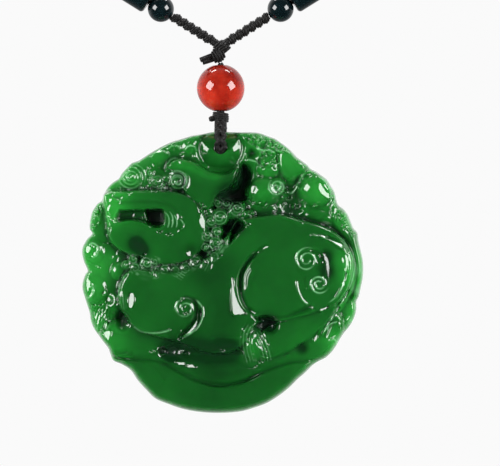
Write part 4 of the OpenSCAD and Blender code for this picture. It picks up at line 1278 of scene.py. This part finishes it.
def braided(path, aside, strands=4, outer=0.9, ply=0.36, sway=0.08, pitch=4.2, sides=6,
            spacing=0.3):
    # Half of the strands wind one way round the path and half the other way. Their
    # distance from it swings, so that they pass over and under each other.
    line, marks = evenLine(np.asarray(path), spacing * mm)
    along = tangents(line)
    towards = aside(line) if callable(aside) else np.broadcast_to(aside, line.shape)
    first = unit(np.cross(along, towards))
    second = np.cross(first, along)
    parts = []
    for k in range(strands):
        hand = 1 if k % 2 else -1
        angle = hand * 2 * np.pi * marks / (pitch * mm) + np.pi * (k // 2)
        reach = (outer - ply - sway + hand * sway * np.cos(2 * angle)) * mm
        middle = line + reach[:, None] * (first * np.cos(angle)[:, None]
                                          + second * np.sin(angle)[:, None])
        parts.append(tube(middle, ply * mm, sides, towards))
    return parts


def wrap(middle, axis, aside, radius, thick, tilt=0.0, depth=None, steps=28, sides=6):
    # Ring of ply round an axis, tilted along it, and drawn out to an oval by its depth
    axis = unit(np.asarray(axis, float))
    first = unit(np.cross(axis, aside))
    second = np.cross(axis, first)
    turn = 2 * np.pi * np.arange(steps) / steps
    deep = radius if depth is None else depth
    line = (np.asarray(middle) + radius * mm * np.cos(turn)[:, None] * first
            + deep * mm * np.sin(turn)[:, None] * second
            + tilt * mm * np.cos(turn)[:, None] * axis)
    return tube(line, thick * mm, sides, axis, closed=True)


# Knots of the two strands, in millimetres
braid = {
    "knots": 6,
    "core": 0.55,
    "wrapStep": 0.36,
    "radii": (0.56, 0.7, 0.56),  # of the three wraps of a knot
    "ply": 0.25,
    "lean": (0.16, 0.3),
}


def makeBraid(side, word):
    # Knot after knot: three wraps of ply round a core, the middle one proud of the others
    start, end = strand["braid"]
    pitch = (end - start) / braid["knots"]
    axis = strandDirection(side)
    parts = [tube([onStrand(side, start), onStrand(side, end)], braid["core"] * mm, sides=12,
                  aside=backwards)]
    for k in range(braid["knots"]):
        middle = start + (k + 0.5) * pitch
        lean = dice.uniform(*braid["lean"])
        for j, radius in zip((-1, 0, 1), braid["radii"]):
            parts.append(wrap(onStrand(side, middle + j * braid["wrapStep"]), axis, backwards,
                              radius, braid["ply"], lean))
    makePiece("knotted_cord_" + word, parts, cordMaterial, "necklace", ["braid_" + word])


# Junction knot, in millimetres from the crossing
junction = {
    "balls": (((0.2, 0, -0.2), (0.75, 0, -0.65)),  # middle and axis of each
              ((-0.4, 0, -1.4), (0.85, 0, 0.5))),
    "ballRadius": 1.36,
    "wraps": (-0.84, -0.42, 0, 0.42, 0.84),  # places of the wraps along a ball's axis
    "ply": 0.24,
    "lean": 0.15,
    "collars": (0.8, 1.15, 1.5),  # places of the wraps at the start of the strands
    "collar": (0.5, 0.22, 0.12),  # their radius, their ply's radius and their lean
    "tail": (-0.94, 0, -0.342),  # direction of the cut tail
    "tailBend": 1.6,
    "tailLength": 3.05,
    "tailUneven": 0.12,
    "tailPly": 0.42,
    "tailTaper": 0.8,
}


def makeJunction():
    # Two balls of wraps across each other, and the cut tail of three plies
    parts = []
    for place, axis in junction["balls"]:
        middle = crossing + np.array(place) * mm
        for s in junction["wraps"]:
            radius = math.sqrt(junction["ballRadius"] ** 2 - s**2) - junction["ply"]
            parts.append(wrap(middle + unit(np.array(axis)) * s * mm, axis, backwards, radius,
                              junction["ply"], junction["lean"]))
    for side in (-1, 1):
        for along in junction["collars"]:
            parts.append(wrap(onStrand(side, along), strandDirection(side), backwards,
                              *junction["collar"]))
    away = np.array(junction["tail"])
    for k in range(3):
        turn = 2 * np.pi * k / 3
        off = np.array([-away[2] * math.cos(turn), math.sin(turn), away[0] * math.cos(turn)])
        off = off * junction["tailPly"] * mm
        reach = junction["tailLength"] + junction["tailUneven"] * (k - 1)
        line = [middle + off, middle + off + away * junction["tailBend"] * mm,
                middle + junction["tailTaper"] * off + away * reach * mm]
        parts.append(tube(line, junction["tailPly"] * mm, sides=8, aside=backwards))
    makePiece("junction_of_strands", parts, cordMaterial, "necklace", ["junction_knot"])


# Cord through the bore, in millimetres
hanging = {
    "front": (-1, 4.0, 8),  # side of the disc, rise of the boss and the power of its edge
    "back": (1, 4.5, 3),
    "discHalf": 23.5,
    "boreDrop": 2.8,  # from the top of the disc to the bore's axis
    "boreRadius": 1.1,
    "core": (0.5, 3.0),  # stretch of the bore that is filled
    "coreRadius": 1.04,
    "leg": {"outer": 1.15, "ply": 0.44, "pitch": 3.0},
    "off": 1.2,  # from the boss to the middle of the leg
    "lip": (0, 22.5, 45, 67.5),  # bearings on the way round the bore's lip, in degrees
    "climb": (0, 0.35, 0.65),  # shares of the way up over the boss
    "probe": 0.02,  # half of the step over which the boss's slope is measured
    "stopper": (4.5, 5.95),  # levels of the stopper knot above the bore's axis
    "wraps": (1.15, 1.2, 1.2, 1.15),  # half widths of its wraps
    "wrapDeeper": 0.6,  # how much more they reach to the front and back
    "wrapPly": 0.22,
    "wrapLean": 0.15,
    "wrapSteps": 40,
    "plugs": ((0.15, 0.55), (0.65, 1.05)),  # stretches of it that are filled, from its foot
    "plugRadius": 0.9,
    "inBead": (5.75, 14.15),  # levels of the stretch in the red bead
    "tailStart": (0, -0.9, 5.225),  # of the stopper knot's cut tail, from the bore
    "tail": (-0.974, 0, -0.225),  # direction of the tail
    "tailMarks": (0, 1, 1.6, 2),  # places along it
    "tailRadii": (0.42, 0.42, 0.5, 0.3),
}


def fromBore(x, y, z):
    return bore + np.array([x, y, z]) * mm


def legLine(side, rise, power):
    # Out of the bore, round its lip, up over the boss and straight up to the stopper knot
    def depth(up):
        return rise * math.sqrt(1 - ((hanging["discHalf"] - hanging["boreDrop"] + up)
                                     / hanging["discHalf"]) ** power)

    def over(up):
        step = hanging["probe"]
        slope = (depth(up + step) - depth(up - step)) / (2 * step)
        out = unit(np.array([1, -slope]))
        return depth(up) + hanging["off"] * out[0], up + hanging["off"] * out[1]

    r = hanging["boreRadius"]
    turn = [(depth(r) + r * math.sin(a), r - r * math.cos(a)) for a in np.radians(hanging["lip"])]
    climb = [over(r + share * (hanging["boreDrop"] - r)) for share in hanging["climb"]]
    knot = [(strand["cordRadius"], up) for up in hanging["stopper"]]
    line = [(0, 0), *turn, *climb, *knot]
    return smoothLine([fromBore(0, side * a, b) for a, b in line], steps=6)


def makeHangingCord():
    parts = []
    for name in ("front", "back"):
        side, rise, power = hanging[name]
        parts += braided(legLine(side, rise, power), (side, 0, 0), **hanging["leg"])
    through = [fromBore(0, y, 0) for y in hanging["core"]]
    parts.append(tube(through, hanging["coreRadius"] * mm, sides=24, aside=upwards))
    low, high = hanging["stopper"]
    for k, half in enumerate(hanging["wraps"]):
        level = low + (high - low) * (k + 0.5) / len(hanging["wraps"])
        parts.append(wrap(fromBore(0, 0, level), upwards, backwards, half, hanging["wrapPly"],
                          hanging["wrapLean"], half + hanging["wrapDeeper"],
                          hanging["wrapSteps"]))
    for ends in hanging["plugs"]:
        plug = [fromBore(0, 0, low + z) for z in ends]
        parts.append(tube(plug, hanging["plugRadius"] * mm, sides=12, aside=backwards))
    parts += braided([fromBore(0, 0, z) for z in hanging["inBead"]], (1.0, 0, 0))
    away = np.array(hanging["tail"]) * mm
    tail = [fromBore(*hanging["tailStart"]) + mark * away for mark in hanging["tailMarks"]]
    parts.append(tube(tail, np.array(hanging["tailRadii"]) * mm, sides=10, aside=backwards))
    makePiece("hanging_loop", parts, cordMaterial, "necklace", ["hanging_cord"])


def makeNeckCord():
    # Thin core through the dark beads, and the braided cord once round the neck
    half = smoothLine(route, strand["steps"])[strand["steps"]:]
    start = onStrand(1, strand["cordStart"])
    right = np.concatenate([[start], half])
    loop = np.concatenate([right, (right * [-1, 1, 1])[-2::-1]])
    hub = np.array(strand["loopMiddle"]) * mm
    parts = braided(loop, lambda line: hub - line)
    for side in (-1, 1):
        for name in ("core", "plug"):
            line = [onStrand(side, along) for along in strand[name]]
            parts.append(tube(line, strand[name + "Radius"] * mm, sides=12, aside=backwards))
    makePiece("braided_neck_cord", parts, cordMaterial, "necklace", ["neck_cord"])


makeBeads()
for side, word in ((-1, "left"), (1, "right")):
    makeBraid(side, word)
makeJunction()
makeHangingCord()
makeNeckCord()
print("beads and cords made")

# Light, backdrop and floor

studio = {
    "softboxAway": 0.6,  # metres from the pendant
    "softboxSide": 0.34,  # metres
    "softboxTurn": 55,  # degrees to the left and right of the camera
    "softboxRise": 12,  # degrees above it
    "radiance": 12.0,
    "wall": 0.9,  # radiance of the white wall behind the piece
    "ceilingAway": (0.36, 0.23, 0.90),  # direction of the right one of two ceiling lamps
    "ceilingSide": 0.17,
    "ceilingRadiance": 14.0,
    "backdrop": "#fafafa",
    "floorMiddle": (0, -0.125, -0.36),
    "floorRadius": 1.1,
    "floorSides": 96,
    "floorGrain": 4 * mm,
    "floorGlow": 0.35,
}


def addSoftbox(name, direction, side, radiance):
    target = fromPhoto(*carving["middle"], camera["facePlane"])
    lamp = bpy.data.lights.new(name, "AREA")
    lamp.shape = "SQUARE"
    lamp.size = side
    lamp.energy = radiance * side * side * math.pi
    holder = addObject(name, lamp)
    holder.location = target + direction * studio["softboxAway"]
    holder.rotation_euler = Vector(-direction).to_track_quat("-Z", "Z").to_euler()
    holder.visible_camera = False


def addWorld():
    world = bpy.data.worlds.new("studio")
    bpy.context.scene.world = world
    world.use_nodes = True
    tree = world.node_tree
    tree.nodes.clear()
    place = addNode(tree, "TexCoord")
    parts = addNode(tree, "SeparateXYZ", links={0: place.outputs["Generated"]})
    along = addNode(tree, "MapRange", {"From Min": -0.5, "From Max": 0.5},
                    {"Value": parts.outputs["Y"]})
    ramp = addNode(tree, "ValToRGB", links={"Fac": along.outputs[0]})
    fillRamp(ramp, (0.15, "#383838"), (1, "#ffffff"), (0.5, "#909090"))
    scaled = addNode(tree, "Math", {1: studio["wall"]}, {0: ramp.outputs["Color"]},
                     operation="MULTIPLY")
    upward = addNode(tree, "MapRange", {"From Min": -0.7, "From Max": 0.1, "To Min": 0.3},
                     {"Value": parts.outputs["Z"]})
    scaled = addNode(tree, "Math", links={0: scaled.outputs[0], 1: upward.outputs[0]},
                     operation="MULTIPLY")
    ray = addNode(tree, "LightPath")
    mixed = addNode(tree, "Mix", {0: 0.0},
                    {0: ray.outputs["Is Camera Ray"], 2: scaled.outputs[0]})
    mixed.inputs[3].default_value = linear(studio["backdrop"])[0]
    light = addNode(tree, "Background", {"Color": (1, 1, 1, 1)},
                    {"Strength": mixed.outputs[0]})
    addNode(tree, "OutputWorld", links={"Surface": light.outputs[0]})


def makeFloor():
    sides = studio["floorSides"]
    turn = 2 * np.pi * np.arange(sides) / sides
    edge = np.stack([np.cos(turn), np.sin(turn), 0 * turn], axis=1) * studio["floorRadius"]
    mesh = bpy.data.meshes.new("studio_floor")
    mesh.from_pydata((edge + studio["floorMiddle"]).tolist(), [], [list(range(sides))])
    # Opal acrylic sheet of a light table: pale, matt and softly lit from below
    material, tree = newMaterial("backlit_opal_acrylic")
    grain = addNode(tree, "TexNoise", {"Scale": 1 / studio["floorGrain"]})
    ramp = addNode(tree, "ValToRGB", links={"Fac": grain.outputs["Fac"]})
    fillRamp(ramp, (0, "#eeeeec"), (1, "#f6f6f4"))
    finishMaterial(tree, {"Roughness": 0.8, "Emission Color": linear(studio["backdrop"]),
                          "Emission Strength": studio["floorGlow"]},
                   {"Base Color": ramp.outputs["Color"]})
    mesh.materials.append(material)
    floor = addObject("studio_floor", mesh)
    floor.visible_glossy = False


makeFloor()
for side, name in ((-1, "softbox_left"), (1, "softbox_right")):
    a, e = math.radians(side * studio["softboxTurn"]), math.radians(studio["softboxRise"])
    direction = np.array([math.sin(a) * math.cos(e), -math.cos(a) * math.cos(e), math.sin(e)])
    addSoftbox(name, direction, studio["softboxSide"], studio["radiance"])
    above = unit(np.array(studio["ceilingAway"]) * [side, 1, 1])
    addSoftbox(name.replace("softbox", "ceiling"), above, studio["ceilingSide"],
               studio["ceilingRadiance"])
addWorld()
bpy.context.scene.view_settings.view_transform = "Standard"
print("studio lit")
